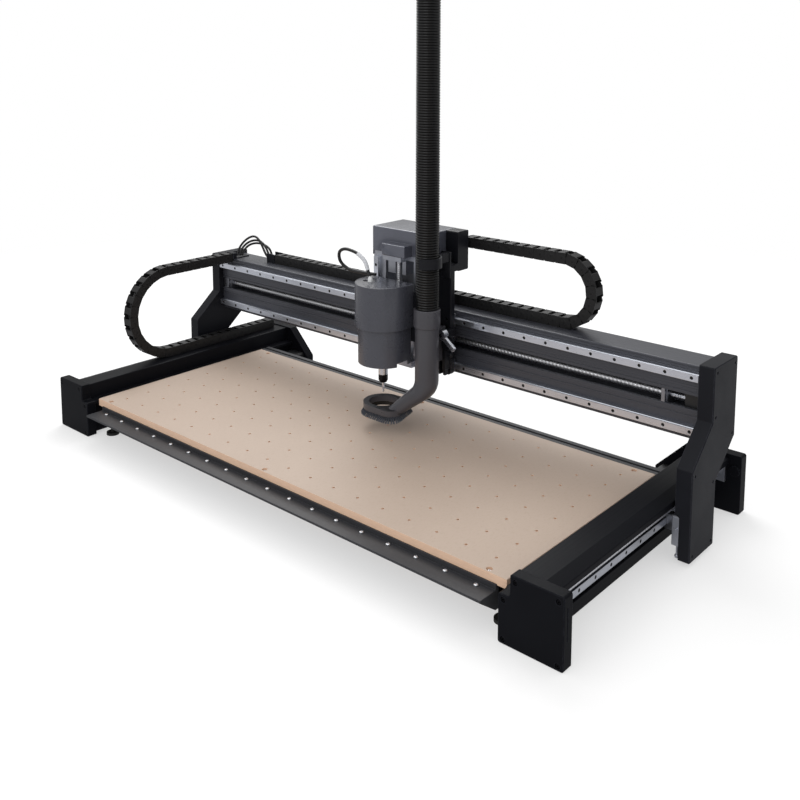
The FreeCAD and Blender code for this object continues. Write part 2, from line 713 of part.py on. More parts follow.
def y_chain_loop():
    centre_z = Y_CHAIN_BOTTOM_Z + Y_CHAIN_RADIUS
    inner = Y_CHAIN_RADIUS - CHAIN_HIGH
    ring = cut(
        rod(Y_CHAIN_RADIUS, (Y_CHAIN_X, Y_CHAIN_LOOP_Y, centre_z), (1, 0, 0), CHAIN_WIDE),
        rod(inner, (Y_CHAIN_X - 1, Y_CHAIN_LOOP_Y, centre_z), (1, 0, 0), CHAIN_WIDE + 2),
    )
    keep = box((Y_CHAIN_X - 1, Y_CHAIN_X + CHAIN_WIDE + 1), (Y_CHAIN_LOOP_Y - 200, Y_CHAIN_LOOP_Y),
               (centre_z - 200, centre_z + 200))
    return ring.common(keep)


def chain_brackets():
    """The sheet-metal chain ends on the gantry: one lifts the Y chain, one holds the X chain."""
    top = Y_CHAIN_BOTTOM_Z + 2 * Y_CHAIN_RADIUS
    x = (Y_CHAIN_X - 1, Y_CHAIN_X + CHAIN_WIDE + 1)
    foot = box(x, (GANTRY_Y[0] + 4, GANTRY_Y[0] + 60), (GANTRY_Z[1], GANTRY_Z[1] + 3))
    wall = box(x, (Y_CHAIN_END_Y + 1, Y_CHAIN_END_Y + 14), (GANTRY_Z[1] + 0.5, top))
    lift = fused(foot, wall)
    low = X_CHAIN_START_X - 34
    base = box((low, X_CHAIN_START_X - CLEAR), (X_CHAIN_Y - 2, X_CHAIN_Y + CHAIN_WIDE + 2), (290.0, 293.0))
    ears = [box((low, X_CHAIN_START_X - CLEAR), (y, y + 3), (290.0, 290.0 + CHAIN_HIGH))
            for y in (X_CHAIN_Y - 2, X_CHAIN_Y + CHAIN_WIDE - 1)]
    return group(lift, fused(base, *ears))


def swept_cable(points, radius):
    """A round cable along a smooth curve through points."""
    curve = Part.BSplineCurve()
    curve.interpolate([vec(*p) for p in points])
    path = Part.Wire([curve.toShape()])
    start = vec(*points[0])
    direction = curve.tangent(curve.FirstParameter)[0]
    ring = Part.Wire([Part.makeCircle(radius, start, direction)])
    return path.makePipeShell([ring], True, False)


def gantry_cables():
    """Cables that arch from the Y chain's end to the X chain's fixed end, above the beam."""
    cables = []
    for lane, rise in ((0, 62), (1, 48), (2, 36)):
        y = X_CHAIN_Y + 6 + 9 * lane
        cables.append(swept_cable([
            (-744.0 + 3 * lane, Y_CHAIN_END_Y + 20 + 7 * lane, 299.0),
            (-735.0, y - 14, 304.0 + rise * 0.6),
            (-700.0 + 12 * lane, y, 298.0 + rise),
            (-662.0 + 8 * lane, y, 300.0 + rise * 0.5),
            (-638.0, y, 303.0),
            (-612.0, y, 303.0),
        ], 3.4))
    return group(*cables)


# ---------------------------------------------------------------- X carriage

def around_spindle(low, high):
    """An X range about the carriage's middle."""
    return (SPINDLE_X + low, SPINDLE_X + high)


def x_carriage_plate():
    plate = box(around_spindle(-PLATE_HALF_X, PLATE_HALF_X), PLATE_Y, PLATE_Z)
    plate = rounded(plate, 8.0, along("y"))
    plate = plate.makeChamfer(1.2, [e for e in plate.Edges if abs(e.BoundBox.YMax - PLATE_Y[0]) < 1e-3])
    holes = [
        rod(4.5, (SPINDLE_X + dx, PLATE_Y[0] - 1, z + dz), (0, 1, 0), 6)
        for dx in (-116, -82, 82, 116)
        for z in X_RAIL_Z
        for dz in (-10, 10)
        if abs(dx) > COLUMN_HALF_X
    ]
    return cut(plate, *holes)


def x_linear_blocks():
    on_face = turned(linear_block(BLOCK_LONG), (1, 0, 0), 90)
    return group(*[
        moved(on_face, SPINDLE_X + dx, GANTRY_Y[0], z)
        for dx in (-86.0, 86.0)
        for z in X_RAIL_Z
    ])


def x_ball_nut():
    """The ball nut on the X screw and its arm through the beam's recess."""
    x = around_spindle(-24, 24)
    high = (RECESS_Z[0] + 1.5, RECESS_Z[1] - 1.5)
    arm = box(x, (PLATE_Y[1], X_SCREW_Y), high)
    nut = rod(13.5, (x[0], X_SCREW_Y, X_SCREW_Z), (1, 0, 0), x[1] - x[0])
    bore = rod(SCREW_R + NUT_GAP, (x[0] - 1, X_SCREW_Y, X_SCREW_Z), (1, 0, 0), x[1] - x[0] + 2)
    return cut(fused(arm, nut), bore)


def z_column():
    """The Z axis casting: a web, two flanges for the rails, and a top that carries the motor."""
    low, high = COLUMN_LOW_Z, COLUMN_TOP_Z
    web = box(around_spindle(-COLUMN_HALF_X, COLUMN_HALF_X), (187.0, PLATE_Y[0]), (low, high))
    flanges = [
        box(around_spindle(*side), (COLUMN_FRONT_Y, 188.0), (low, high))
        for side in ((-COLUMN_HALF_X, -47.0), (47.0, COLUMN_HALF_X))
    ]
    wide = around_spindle(-COLUMN_HALF_X, COLUMN_HALF_X)
    top = box(wide, (COLUMN_FRONT_Y, PLATE_Y[1] + 40), (high, high + 12))
    shelf = box(around_spindle(-30, 30), (122.0, COLUMN_FRONT_Y + 1), (high, high + 12))
    foot = box(around_spindle(-52, 52), (138.0, 188.0), (low, low + 16))
    posts = [box(around_spindle(*side), (146.0, 188.0), (383.0, high)) for side in ((-33, -9), (14, 26))]
    column = fused(web, top, shelf, foot, *flanges, *posts)
    bores = [
        rod(Z_SCREW_R - 1.5 + NUT_GAP, (SPINDLE_X, Z_SCREW_Y, low - 1), (0, 0, 1), high - low + 40),
        *[rod(3.0, (SPINDLE_X + side * 80, COLUMN_FRONT_Y - 1, z), (0, 1, 0), 12)
          for side in (-1, 1) for z in (170, 227, 284, 341, 398)],
    ]
    return cut(column, *bores)


def z_rails():
    rails = []
    high = COLUMN_FRONT_Y - Z_RAIL_FRONT_Y
    for side in (-1, 1):
        x = SPINDLE_X + side * Z_RAIL_OFFSET
        section = [(x + across, COLUMN_FRONT_Y - up) for across, up in rail_section(RAIL, high)]
        rail = prism(section, "z", COLUMN_LOW_Z + 2, COLUMN_TOP_Z - 2)
        places = [(x, Z_RAIL_FRONT_Y, 156.0 + 40 * k) for k in range(1, 7)]
        rails.append(drilled_rail(rail, places, (0, 1, 0), high))
    return group(*rails)


def z_motor():
    """A flat motor on top of the column, in line with the Z screw."""
    low = COLUMN_TOP_Z + 12
    body = box(around_spindle(-28.5, 28.5), (Z_SCREW_Y - 27.5, Z_SCREW_Y + 29.5), (low, low + 28))
    body = body.makeChamfer(4.0, [e for e in body.Edges if along("z")(e)])
    return cut(body, rod(4.0 + NUT_GAP, (SPINDLE_X, Z_SCREW_Y, low - 1), (0, 0, 1), 20))


def z_top_cover():
    """A sheet-metal cover, open below, with a nose over the front of the motor."""
    x = around_spindle(-91, 91)
    y = (149.0, 268.0)
    z = (COLUMN_TOP_Z + 1, 496.0)
    wall = 2.0
    outer = rounded(box(x, y, z), 3.0, lambda e: along("z")(e) or e.BoundBox.ZMin > z[1] - 1e-3)
    nose_x = around_spindle(-32, 44)
    nose_z = (COLUMN_TOP_Z + 13, COLUMN_TOP_Z + 42)
    nose = rounded(box(nose_x, (119.0, 156.0), nose_z), 2.0, lambda e: e.BoundBox.YMax < 119.001)
    inside = box((x[0] + wall, x[1] - wall), (y[0] + wall, y[1] - wall), (z[0] - 1, z[1] - wall))
    nose_inside = box((nose_x[0] + 1.5, nose_x[1] - 1.5), (120.5, 160.0), (nose_z[0] - 1, nose_z[1] - 1.5))
    tongue = box((x[0] - 1, x[1] + 1), (y[0] - 1, y[0] + wall + 0.5), (z[0] - 1, COLUMN_TOP_Z + 12.5))
    middle = box(around_spindle(-89, 89), (140, 260), (z[0] - 1, COLUMN_TOP_Z + 12.5))
    return cut(fused(outer, nose), inside, nose_inside, middle.common(tongue))


def chain_junction_box():
    """The box at the back of the carriage where the X chain ends and its cables fan out."""
    x = (122.0, 160.0)
    body = rounded(box(x, (224.0, 266.0), (396.0, 496.0)), 4.0, along("x"))
    body = cut(body, box((x[0] + 3, x[1] - 3), (227.0, 263.0), (399.0, 493.0)))
    z = GANTRY_Z[1] + 2 * X_CHAIN_RADIUS
    low = z - CHAIN_HIGH
    tab = box((128.0, X_CHAIN_END_X - CLEAR), (262.0, X_CHAIN_Y + CHAIN_WIDE), (low, low + 3))
    lug = box((128.0, 131.0), (262.0, X_CHAIN_Y + CHAIN_WIDE), (z - CHAIN_HIGH, z - 2))
    arm = box((121.0, 160.0), (PLATE_Y[1], 228.0), (398.0, 416.0))
    return fused(body, tab, lug, arm)


def dust_arm_bracket():
    """The guide that the dust shoe's slider runs in, the clamp lever's post and a strap with a stop."""
    guide = rounded(box((126.0, 158.0), (178.0, PLATE_Y[0]), (150.0, 213.0)), 4.0, along("y"))
    foot = box((128.0, 156.0), (181.0, 195.0), (137.0, 150.5))
    channel = box((SLIDER_X[0] - CLEAR, SLIDER_X[1] + CLEAR), (177.0, 190.5), (130.0, 270.0))
    ear = box((SLIDER_X[1] + 3, LEVER_X + 8), (172.0, PLATE_Y[0]), (208.0, LEVER_Z + 8))
    post = rod(5.0, (LEVER_X, LEVER_Y + 1, LEVER_Z), (0, 1, 0), 28)
    link = box((LEVER_X, 186.0), (170.0, 182.0), (LEVER_Z - 14, LEVER_Z - 4))
    strap = box((178.0, 186.0), (168.0, 174.0), (200.0, LEVER_Z - 4))
    stop = Part.makeSphere(6.0, vec(182.0, 171.0, 198.0))
    return cut(fused(guide, foot, ear, post, link, strap, stop), channel)


def hose_clip():
    """A hook that steadies the hose, on an arm and a pad on the carriage plate's front."""
    z = (424.0, 450.0)
    hook = rod(HOSE_R + 7, (PIPE_X, PIPE_Y, z[0]), (0, 0, 1), z[1] - z[0])
    arm = box((PIPE_X - 6, PIPE_X + 8), (PIPE_Y + HOSE_R + 4, PLATE_Y[0] - 4), (z[0] + 2, z[1] - 2))
    pad = box((PIPE_X - 18, PIPE_X + 10), (PLATE_Y[0] - 5, PLATE_Y[0]), (z[0] - 40, z[1]))
    bore = rod(HOSE_R + 2.5, (PIPE_X, PIPE_Y, z[0] - 1), (0, 0, 1), 40)
    mouth = box((PIPE_X - 60, PIPE_X + 4), (PIPE_Y - 60, PIPE_Y + 8), (z[0] - 1, z[1] + 1))
    return cut(fused(hook, arm, pad), bore, mouth)


def z_screw():
    low, high = COLUMN_LOW_Z + 16 + CLEAR, COLUMN_TOP_Z - CLEAR
    thread = rod(Z_SCREW_R, (SPINDLE_X, Z_SCREW_Y, low), (0, 0, 1), high - low)
    journal = rod(Z_SCREW_R - 1.5, (SPINDLE_X, Z_SCREW_Y, low - 14), (0, 0, 1), high - low + 14 + 12.5)
    shaft = rod(4.0, (SPINDLE_X, Z_SCREW_Y, high), (0, 0, 1), 28)
    return fused(thread, journal, shaft)


# ---------------------------------------------------------------- Z slide and spindle

def z_slide_plate():
    """The slide plate and the clamp that holds the spindle."""
    plate = box(around_spindle(-88, 84), Z_SLIDE_Y, (226.0, 352.0))
    plate = rounded(plate, 5.0, along("y"))
    clamp = box(around_spindle(-46, 46), (SPINDLE_Y - 20, Z_SLIDE_Y[0] + 1), (232.0, 286.0))
    bore = rod(SPINDLE_R + 0.02, (SPINDLE_X, SPINDLE_Y, 150.0), (0, 0, 1), 250)
    return cut(fused(plate, clamp), bore)


def z_linear_blocks():
    """Low blocks on the Z rails, behind the slide plate."""
    blocks = []
    for side in (-1, 1):
        x = SPINDLE_X + side * Z_RAIL_OFFSET
        for z in (262.0, 322.0):
            body = box((x - 16, x + 16), (Z_SLIDE_Y[1], COLUMN_FRONT_Y - 2), (z - 24, z + 24))
            groove = box((x - RAIL / 2 - RUNNING_GAP, x + RAIL / 2 + RUNNING_GAP),
                         (Z_RAIL_FRONT_Y - RUNNING_GAP, COLUMN_FRONT_Y), (z - 30, z + 30))
            blocks.append(cut(body, groove))
    return group(*blocks)


def z_ball_nut():
    body = box(around_spindle(-16, 16), (Z_SLIDE_Y[1], Z_SCREW_Y + 12), (300.0, 334.0))
    return cut(body, rod(Z_SCREW_R + NUT_GAP, (SPINDLE_X, Z_SCREW_Y, 299.0), (0, 0, 1), 40))


def spindle_motor():
    """The spindle's body, a finned top end and the nose that the collet sits in."""
    body = rod(SPINDLE_R, (SPINDLE_X, SPINDLE_Y, 160.0), (0, 0, 1), 190)
    nose = rod(12.0, (SPINDLE_X, SPINDLE_Y, COLLET_Z[1] + CLEAR), (0, 0, 1), 160.0 - COLLET_Z[1])
    grooves = [
        cut(rod(SPINDLE_R + 1, (SPINDLE_X, SPINDLE_Y, z), (0, 0, 1), 3),
            rod(SPINDLE_R - 2.5, (SPINDLE_X, SPINDLE_Y, z - 1), (0, 0, 1), 5))
        for z in (290, 300, 310, 320, 330)
    ]
    bore = rod(5.0 + NUT_GAP, (SPINDLE_X, SPINDLE_Y, COLLET_Z[1] - 1), (0, 0, 1), 30)
    return cut(fused(body, nose), bore, *grooves)


def housing_outline(radius, back):
    """A D in plan, as a face at Z 0: half a circle about the spindle's axis, and straight sides behind."""
    left, right = SPINDLE_X - radius, SPINDLE_X + radius
    start, end = vec(left, SPINDLE_Y, 0), vec(right, SPINDLE_Y, 0)
    arc = Part.Arc(start, vec(SPINDLE_X, SPINDLE_Y - radius, 0), end).toShape()
    sides = Part.makePolygon([end, vec(right, back, 0), vec(left, back, 0), start])
    return Part.Face(Part.Wire([arc] + sides.Edges))


def housing_tier(radius, back, low, high):
    solid = housing_outline(radius, back).extrude(vec(0, 0, high - low))
    solid.translate(vec(0, 0, low))
    return solid


def spindle_housing():
    """A two-tier cover round the spindle, closed on top, open below and behind."""
    low, middle, high = HOUSING_Z
    back = Z_SLIDE_Y[0] - CLEAR
    wall = 3.0
    upper = housing_tier(HOUSING_R, back, middle, high)
    lower = housing_tier(HOUSING_LOW_R, back, low, middle + 1)
    lip = housing_tier(HOUSING_LOW_R + 4, back, middle - 0.5, middle + 1)
    outer = fused(upper, lower, lip)
    outer = rounded(outer, 2.5, lambda e: e.BoundBox.ZMin > high - 1e-3 and e.BoundBox.YMin < SPINDLE_Y + 5)
    inner = [
        housing_tier(HOUSING_R - wall, back + 5, middle + 2, high - wall),
        housing_tier(HOUSING_LOW_R - wall, back + 5, low - 1, middle + 10),
    ]
    port = rod(8.0, (SPINDLE_X - 40, SPINDLE_Y - 20, high - 10), (0, 0, 1), 20)
    arch = box((SPINDLE_X - 90, SPINDLE_X + 90), (SPINDLE_Y - 16, SPINDLE_Y + 22), (low - 1, low + 10))
    return cut(outer, port, arch, *inner)


def spindle_cable():
    """The spindle's cable: a fitting on the housing, and a loop out to the left and back over the housing."""
    top = HOUSING_Z[2]
    start = (SPINDLE_X - 25, SPINDLE_Y - 20)
    fitting = rod(7.6, (*start, top), (0, 0, 1), 14)
    loop = [(0, 0, 10), (-6, 0, 22), (-18, 0, 48), (-40, 0, 63), (-62, 0, 69), (-88, 1, 70), (-107, 2, 62),
            (-114, 5, 46), (-109, 10, 28), (-90, 20, 13), (-58, 34, 7.5), (-20, 42, 7.5)]
    cable = swept_cable([(start[0] + x, start[1] + y, top + z) for x, y, z in loop], 4.2)
    return fused(fitting, cable)


def collet_nut():
    low, high = COLLET_Z
    nut = Part.makeCone(9.0, 12.0, 6, vec(SPINDLE_X, SPINDLE_Y, low))
    corners = []
    for k in range(7):
        turn = math.radians(60 * k)
        corners.append(vec(SPINDLE_X + 12.5 * math.cos(turn), SPINDLE_Y + 12.5 * math.sin(turn), low + 6))
    hexagon = Part.Face(Part.makePolygon(corners)).extrude(vec(0, 0, high - low - 6))
    shaft = rod(5.0, (SPINDLE_X, SPINDLE_Y, high - 1), (0, 0, 1), 25)
    bore = rod(BIT_R, (SPINDLE_X, SPINDLE_Y, low - 1), (0, 0, 1), 30)
    return cut(fused(nut, hexagon, shaft), bore)


def router_bit():
    """A two-flute bit."""
    shank = rod(BIT_R, (SPINDLE_X, SPINDLE_Y, BIT_TIP_Z), (0, 0, 1), 50)
    flutes = []
    steps = 6
    for k in range(steps):
        low = BIT_TIP_Z + 3 * k
        for side in (0, 180):
            flute = box((1.0, 6.0), (-0.4, 4.0), (low - (1 if k == 0 else 0), low + 3))
            flute.rotate(vec(0, 0, 0), vec(0, 0, 1), side + 24 * k)
            flute.translate(vec(SPINDLE_X, SPINDLE_Y, 0))
            flutes.append(flute)
    return cut(shank, *flutes)


# ---------------------------------------------------------------- dust shoe


def shoe_outline(grow, z):
    """The shoe's D: round on the left, straight front and back edges and a slanting right edge."""
    r = SHOE_R + grow
    x, y = SPINDLE_X, SPINDLE_Y
    front = vec(x + SHOE_CORNER[0] + grow, y - r, z)
    back = vec(x + SHOE_CORNER[1] + grow, y + r, z)
    edges = [Part.Arc(vec(x, y + r, z), vec(x - r, y, z), vec(x, y - r, z)).toShape()]
    start = vec(x, y - r, z)
    slant = (back - front).normalize()
    for corner, incoming, outgoing, radius in ((front, vec(1, 0, 0), slant, SHOE_ROUND[0]),
                                               (back, slant, vec(-1, 0, 0), SHOE_ROUND[1])):
        turn = incoming.getAngle(outgoing)
        reach = radius * math.tan(turn / 2)
        enter, leave = corner - incoming * reach, corner + outgoing * reach
        inward = (outgoing - incoming).normalize()
        middle = corner + inward * (radius / math.cos(turn / 2) - radius)
        edges.append(Part.makeLine(start, enter))
        edges.append(Part.Arc(enter, middle, leave).toShape())
        start = leave
    edges.append(Part.makeLine(start, vec(x, y + r, z)))
    return Part.Wire(edges)


def duct_section(distance, height, lean, half_wide, half_deep, power):
    """A closed rounded section of the duct, square to its path. distance and height place it from the shoe's
    axis, lean is the path's angle from the vertical, and a higher power makes the section squarer."""
    out = vec(math.cos(DUCT_TURN), math.sin(DUCT_TURN), 0)
    side = vec(-math.sin(DUCT_TURN), math.cos(DUCT_TURN), 0)
    deep = out * math.cos(lean) - vec(0, 0, 1) * math.sin(lean)
    middle = vec(SPINDLE_X, SPINDLE_Y, height) + out * distance
    count = 24
    points = []
    for k in range(count):
        angle = 2 * math.pi * k / count
        c, s = math.cos(angle), math.sin(angle)
        across = math.copysign(abs(c) ** (2 / power), c) * half_wide
        through = math.copysign(abs(s) ** (2 / power), s) * half_deep
        points.append(middle + side * across + deep * through)
    return Part.makePolygon(points + points[:1])


def duct(wall):
    """The duct from the pipe down to the shoe, inset by wall: a bend, then a run that widens and flattens."""
    sections = [duct_section(DUCT_REACH, DUCT_BEND_Z + 16, 0, PIPE_R - wall, PIPE_R - wall, 2.0)]
    bend_steps, run_steps, run = 5, 4, 90.0
    total = bend_steps + run_steps
    for k in range(total + 1):
        lean = DUCT_BEND * min(k, bend_steps) / bend_steps
        ahead = run * max(k - bend_steps, 0) / run_steps
        distance = DUCT_REACH - DUCT_BEND_R * (1 - math.cos(lean)) - ahead * math.sin(lean)
        height = DUCT_BEND_Z - DUCT_BEND_R * math.sin(lean) - ahead * math.cos(lean)
        share = k / total
        wide = PIPE_R + (48.0 - PIPE_R) * share ** 1.6
        deep = PIPE_R + (15.0 - PIPE_R) * share ** 1.2
        sections.append(duct_section(distance, height, lean, wide - wall, deep - wall, 2.0 + 1.6 * share))
    return Part.makeLoft(sections, True, True)


def dust_shoe():
    """The shoe plate, the duct and the pipe that stands in the carriage's guide."""
    ring = Part.Face(shoe_outline(0, SHOE_Z[0])).extrude(vec(0, 0, SHOE_Z[1] - SHOE_Z[0]))
    well = rod(SHOE_HOLE_R, (SPINDLE_X, SPINDLE_Y, SHOE_Z[0] - 1), (0, 0, 1), 40)
    pipe = rod(PIPE_R, (PIPE_X, PIPE_Y, 157.0), (0, 0, 1), PIPE_TOP_Z - 157.0)
    pipe_bore = rod(PIPE_R - PIPE_WALL, (PIPE_X, PIPE_Y, 156.0), (0, 0, 1), PIPE_TOP_Z - 150.0)
    under = box((-100, 300), (-100, 300), (SHOE_Z[0] - 80, SHOE_Z[0]))
    slider = box(SLIDER_X, (PIPE_Y + PIPE_R - 3, 190.0), (176.0, 262.0))
    outside = fused(cut(duct(0), under), ring, pipe, slider)
    return cut(cut(cut(outside, well), pipe_bore), duct(PIPE_WALL))


def brush_ring():
    """The skirt of bristles under the shoe, flaring outwards, as a closed band."""
    outer = Part.makeLoft([shoe_outline(7.0, BRISTLE_Z), shoe_outline(-1.0, SHOE_Z[0])], True, True)
    inner = Part.makeLoft([shoe_outline(0.0, BRISTLE_Z), shoe_outline(-8.0, SHOE_Z[0])], True, True)
    return cut(outer, inner)


def hose_collar():
    """The cuff that joins the hose to the pipe."""
    low, high = PIPE_TOP_Z, COLLAR_TOP_Z
    cuff = rod(COLLAR_R, (PIPE_X, PIPE_Y, low), (0, 0, 1), high - low)
    cuff = cuff.makeChamfer(1.5, [e for e in cuff.Edges if abs(e.BoundBox.ZLength) < 1e-3])
    return cut(cuff, rod(HOSE_BORE_R, (PIPE_X, PIPE_Y, low - 1), (0, 0, 1), high - low + 2))


def dust_hose():
    """The ribbed hose, as a plain tube with its true bore and outer size."""
    tube = rod(HOSE_R, (PIPE_X, PIPE_Y, COLLAR_TOP_Z), (0, 0, 1), HOSE_TOP_Z - COLLAR_TOP_Z)
    long = HOSE_TOP_Z - COLLAR_TOP_Z
    return cut(tube, rod(HOSE_BORE_R, (PIPE_X, PIPE_Y, COLLAR_TOP_Z - 1), (0, 0, 1), long + 2))


def clamp_lever():
    """The cam lever that locks the dust shoe's height."""
    droop = 38.0
    cam = rod(14.0, (LEVER_X, LEVER_Y, LEVER_Z), (0, 1, 0), 15)
    arm = rounded(box((0, 50.0), (LEVER_Y + 1, LEVER_Y + 9), (-5.5, 5.5)), 2.0, along("y"))
    arm.rotate(vec(0, 0, 0), vec(0, 1, 0), droop)
    arm.translate(vec(LEVER_X, 0, LEVER_Z))
    bore = rod(5.0 + NUT_GAP, (LEVER_X, LEVER_Y - 5, LEVER_Z), (0, 1, 0), 30)
    return cut(fused(cam, arm), bore)


NODES = [
    front_end_caps, rear_end_caps, rear_cap_covers, side_beams, y_rails, y_screw_bearings, y_motors,
    y_drive_belts, cross_members, front_nose, wasteboard, threaded_inserts, frame_screws, levelling_feet,
    y_chain_lower_run, y_screw_left, y_screw_right, y_motor_pulley_left, y_motor_pulley_right,
    gantry_leg_left, gantry_leg_right, gantry_beam, x_rails, x_screw_bearings, x_motor, y_carriage_plates,
    y_linear_blocks, y_ball_nuts, x_chain_lower_run, y_chain_upper_run, chain_brackets, gantry_cables,
    x_screw, x_chain_loop, y_chain_loop,
    x_carriage_plate, x_linear_blocks, x_ball_nut, z_column, z_rails, z_motor, z_top_cover,
    x_chain_upper_run, chain_junction_box, dust_arm_bracket, hose_clip, z_screw,
    z_slide_plate, z_linear_blocks, z_ball_nut, spindle_motor, spindle_housing, spindle_cable,
    collet_nut, router_bit, dust_shoe, brush_ring, hose_collar, dust_hose, clamp_lever,
]

os.makedirs("parts", exist_ok=True)
for build in NODES:
    shape = build()
    shape.exportStep("parts/" + build.__name__ + ".step")
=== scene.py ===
"""Looks for the gantry CNC router. Metres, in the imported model's own frame: +X along the gantry, +Y to the
rear, +Z up, origin at the centre of the spoilboard's top face. Lengths given as n * MM are in millimetres."""
import math
import random

import bpy
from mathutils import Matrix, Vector


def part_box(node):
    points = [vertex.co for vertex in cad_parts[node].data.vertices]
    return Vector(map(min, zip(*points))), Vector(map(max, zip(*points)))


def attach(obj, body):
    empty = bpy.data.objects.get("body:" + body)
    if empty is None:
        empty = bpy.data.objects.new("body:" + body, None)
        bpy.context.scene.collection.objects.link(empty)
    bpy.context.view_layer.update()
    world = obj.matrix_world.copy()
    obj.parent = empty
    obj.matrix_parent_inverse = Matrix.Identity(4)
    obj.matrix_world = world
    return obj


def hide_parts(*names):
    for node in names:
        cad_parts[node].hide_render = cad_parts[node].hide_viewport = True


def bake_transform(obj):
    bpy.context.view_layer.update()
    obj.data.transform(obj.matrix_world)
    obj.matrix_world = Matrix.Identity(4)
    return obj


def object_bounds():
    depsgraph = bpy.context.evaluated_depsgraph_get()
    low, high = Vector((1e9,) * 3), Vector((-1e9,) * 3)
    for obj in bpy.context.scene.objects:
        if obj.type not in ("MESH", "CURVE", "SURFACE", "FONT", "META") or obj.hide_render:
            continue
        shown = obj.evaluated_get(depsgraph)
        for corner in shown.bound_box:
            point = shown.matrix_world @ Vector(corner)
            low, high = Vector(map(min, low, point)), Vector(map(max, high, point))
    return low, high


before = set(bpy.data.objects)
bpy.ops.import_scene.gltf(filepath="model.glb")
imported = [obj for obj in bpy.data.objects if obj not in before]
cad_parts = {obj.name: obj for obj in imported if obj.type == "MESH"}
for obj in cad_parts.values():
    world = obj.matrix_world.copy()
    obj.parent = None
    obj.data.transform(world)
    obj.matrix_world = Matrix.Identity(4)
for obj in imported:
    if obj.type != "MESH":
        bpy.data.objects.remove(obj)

cad_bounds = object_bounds()
MM = 0.001


# ---------------------------------------------------------------- materials

class Finish:
    """One procedural material: a principled shader and short calls for the nodes that feed it."""

    def __init__(self, name):
        self.material = bpy.data.materials.new(name)
        self.material.use_nodes = True
        self.tree = self.material.node_tree
        self.bsdf = self.tree.nodes["Principled BSDF"]
        self.place = self.node("ShaderNodeTexCoord").outputs["Object"]

    def node(self, kind, **settings):
        made = self.tree.nodes.new(kind)
        for key, value in settings.items():
            setattr(made, key, value)
        return made

    def feed(self, socket, value):
        if isinstance(value, bpy.types.NodeSocket):
            self.tree.links.new(value, socket)
        else:
            socket.default_value = value

    def put(self, **inputs):
        for key, value in inputs.items():
            self.feed(self.bsdf.inputs[key.replace("_", " ")], value)

    def stretched(self, scale):
        mapping = self.node("ShaderNodeMapping")
        self.feed(mapping.inputs["Vector"], self.place)
        mapping.inputs["Scale"].default_value = scale
        return mapping.outputs["Vector"]

    def part(self, vector, axis):
        """One component of a vector."""
        split = self.node("ShaderNodeSeparateXYZ")
        self.feed(split.inputs[0], vector)
        return split.outputs[axis]

    def noise(self, scale, detail=3.0, place=None, rough=0.55):
        made = self.node("ShaderNodeTexNoise")
        self.feed(made.inputs["Vector"], place or self.place)
        made.inputs["Scale"].default_value = scale
        made.inputs["Detail"].default_value = detail
        made.inputs["Roughness"].default_value = rough
        return made.outputs["Fac"]

    def spots(self, scale):
        made = self.node("ShaderNodeTexVoronoi")
        self.feed(made.inputs["Vector"], self.place)
        made.inputs["Scale"].default_value = scale
        return made.outputs["Distance"]

    def ranged(self, value, low, high, to_low, to_high):
        made = self.node("ShaderNodeMapRange")
        for key, number in (("From Min", low), ("From Max", high), ("To Min", to_low), ("To Max", to_high)):
            made.inputs[key].default_value = number
        self.feed(made.inputs["Value"], value)
        return made.outputs["Result"]

    def blend(self, factor, first, second):
        made = self.node("ShaderNodeMix", data_type="RGBA")
        self.feed(made.inputs[0], factor)
        for socket, value in ((made.inputs[6], first), (made.inputs[7], second)):
            self.feed(socket, value if isinstance(value, bpy.types.NodeSocket) else tuple(value) + (1.0,))
        return made.outputs[2]

    def times(self, first, second):
        made = self.node("ShaderNodeMath", operation="MULTIPLY")
        self.feed(made.inputs[0], first)
        self.feed(made.inputs[1], second)
        return made.outputs[0]

    def rounded(self, radius):
        """A normal that rounds sharp edges off by radius."""
        made = self.node("ShaderNodeBevel", samples=4)
        made.inputs["Radius"].default_value = radius
        return made.outputs["Normal"]

    def edge_mask(self, radius):
        """1 along sharp edges, 0 on open faces."""
        dot = self.node("ShaderNodeVectorMath", operation="DOT_PRODUCT")
        self.feed(dot.inputs[0], self.rounded(radius))
        self.feed(dot.inputs[1], self.node("ShaderNodeNewGeometry").outputs["Normal"])
        return self.ranged(dot.outputs["Value"], 0.995, 0.80, 0.0, 1.0)

    def bump(self, height, strength, distance, normal=None):
        """A normal with fine relief from height, on top of normal."""
        made = self.node("ShaderNodeBump")
        made.inputs["Strength"].default_value = strength
        made.inputs["Distance"].default_value = distance
        self.feed(made.inputs["Height"], height)
        if normal is not None:
            self.feed(made.inputs["Normal"], normal)
        return made.outputs["Normal"]


def scaled(color, factor):
    return tuple(min(c * factor, 1.0) for c in color)


def anodised(name, color, rough, shine=0.3, metallic=0.0, coat=0.0, grain=2600.0, edge_highlight=2.2, edge=0.0012):
    """Blasted and anodised plate: a fine grain, faint clouds, and a painted highlight that lightens the colour
    along sharp edges in patches.
    """
    f = Finish(name)
    clouds = f.ranged(f.noise(7.0, 4.0), 0.3, 0.7, 0.0, 1.0)
    base = f.blend(clouds, scaled(color, 0.86), scaled(color, 1.12))
    # painted highlight: the colour turns lighter along sharp edges, in patches
    mask = f.times(f.edge_mask(edge), f.ranged(f.noise(90.0, 3.0), 0.35, 0.65, 0.25, 1.0))
    fine = f.noise(grain, 2.0)
    f.put(Base_Color=f.blend(mask, base, scaled(color, edge_highlight)), Metallic=metallic, Specular_IOR_Level=shine,
          Coat_Weight=coat, Coat_Roughness=0.12,
          Roughness=f.ranged(f.noise(14.0, 5.0), 0.3, 0.7, rough - 0.05, rough + 0.06),
          Normal=f.bump(fine, 0.12, 0.0002, f.rounded(edge)))
    return f.material


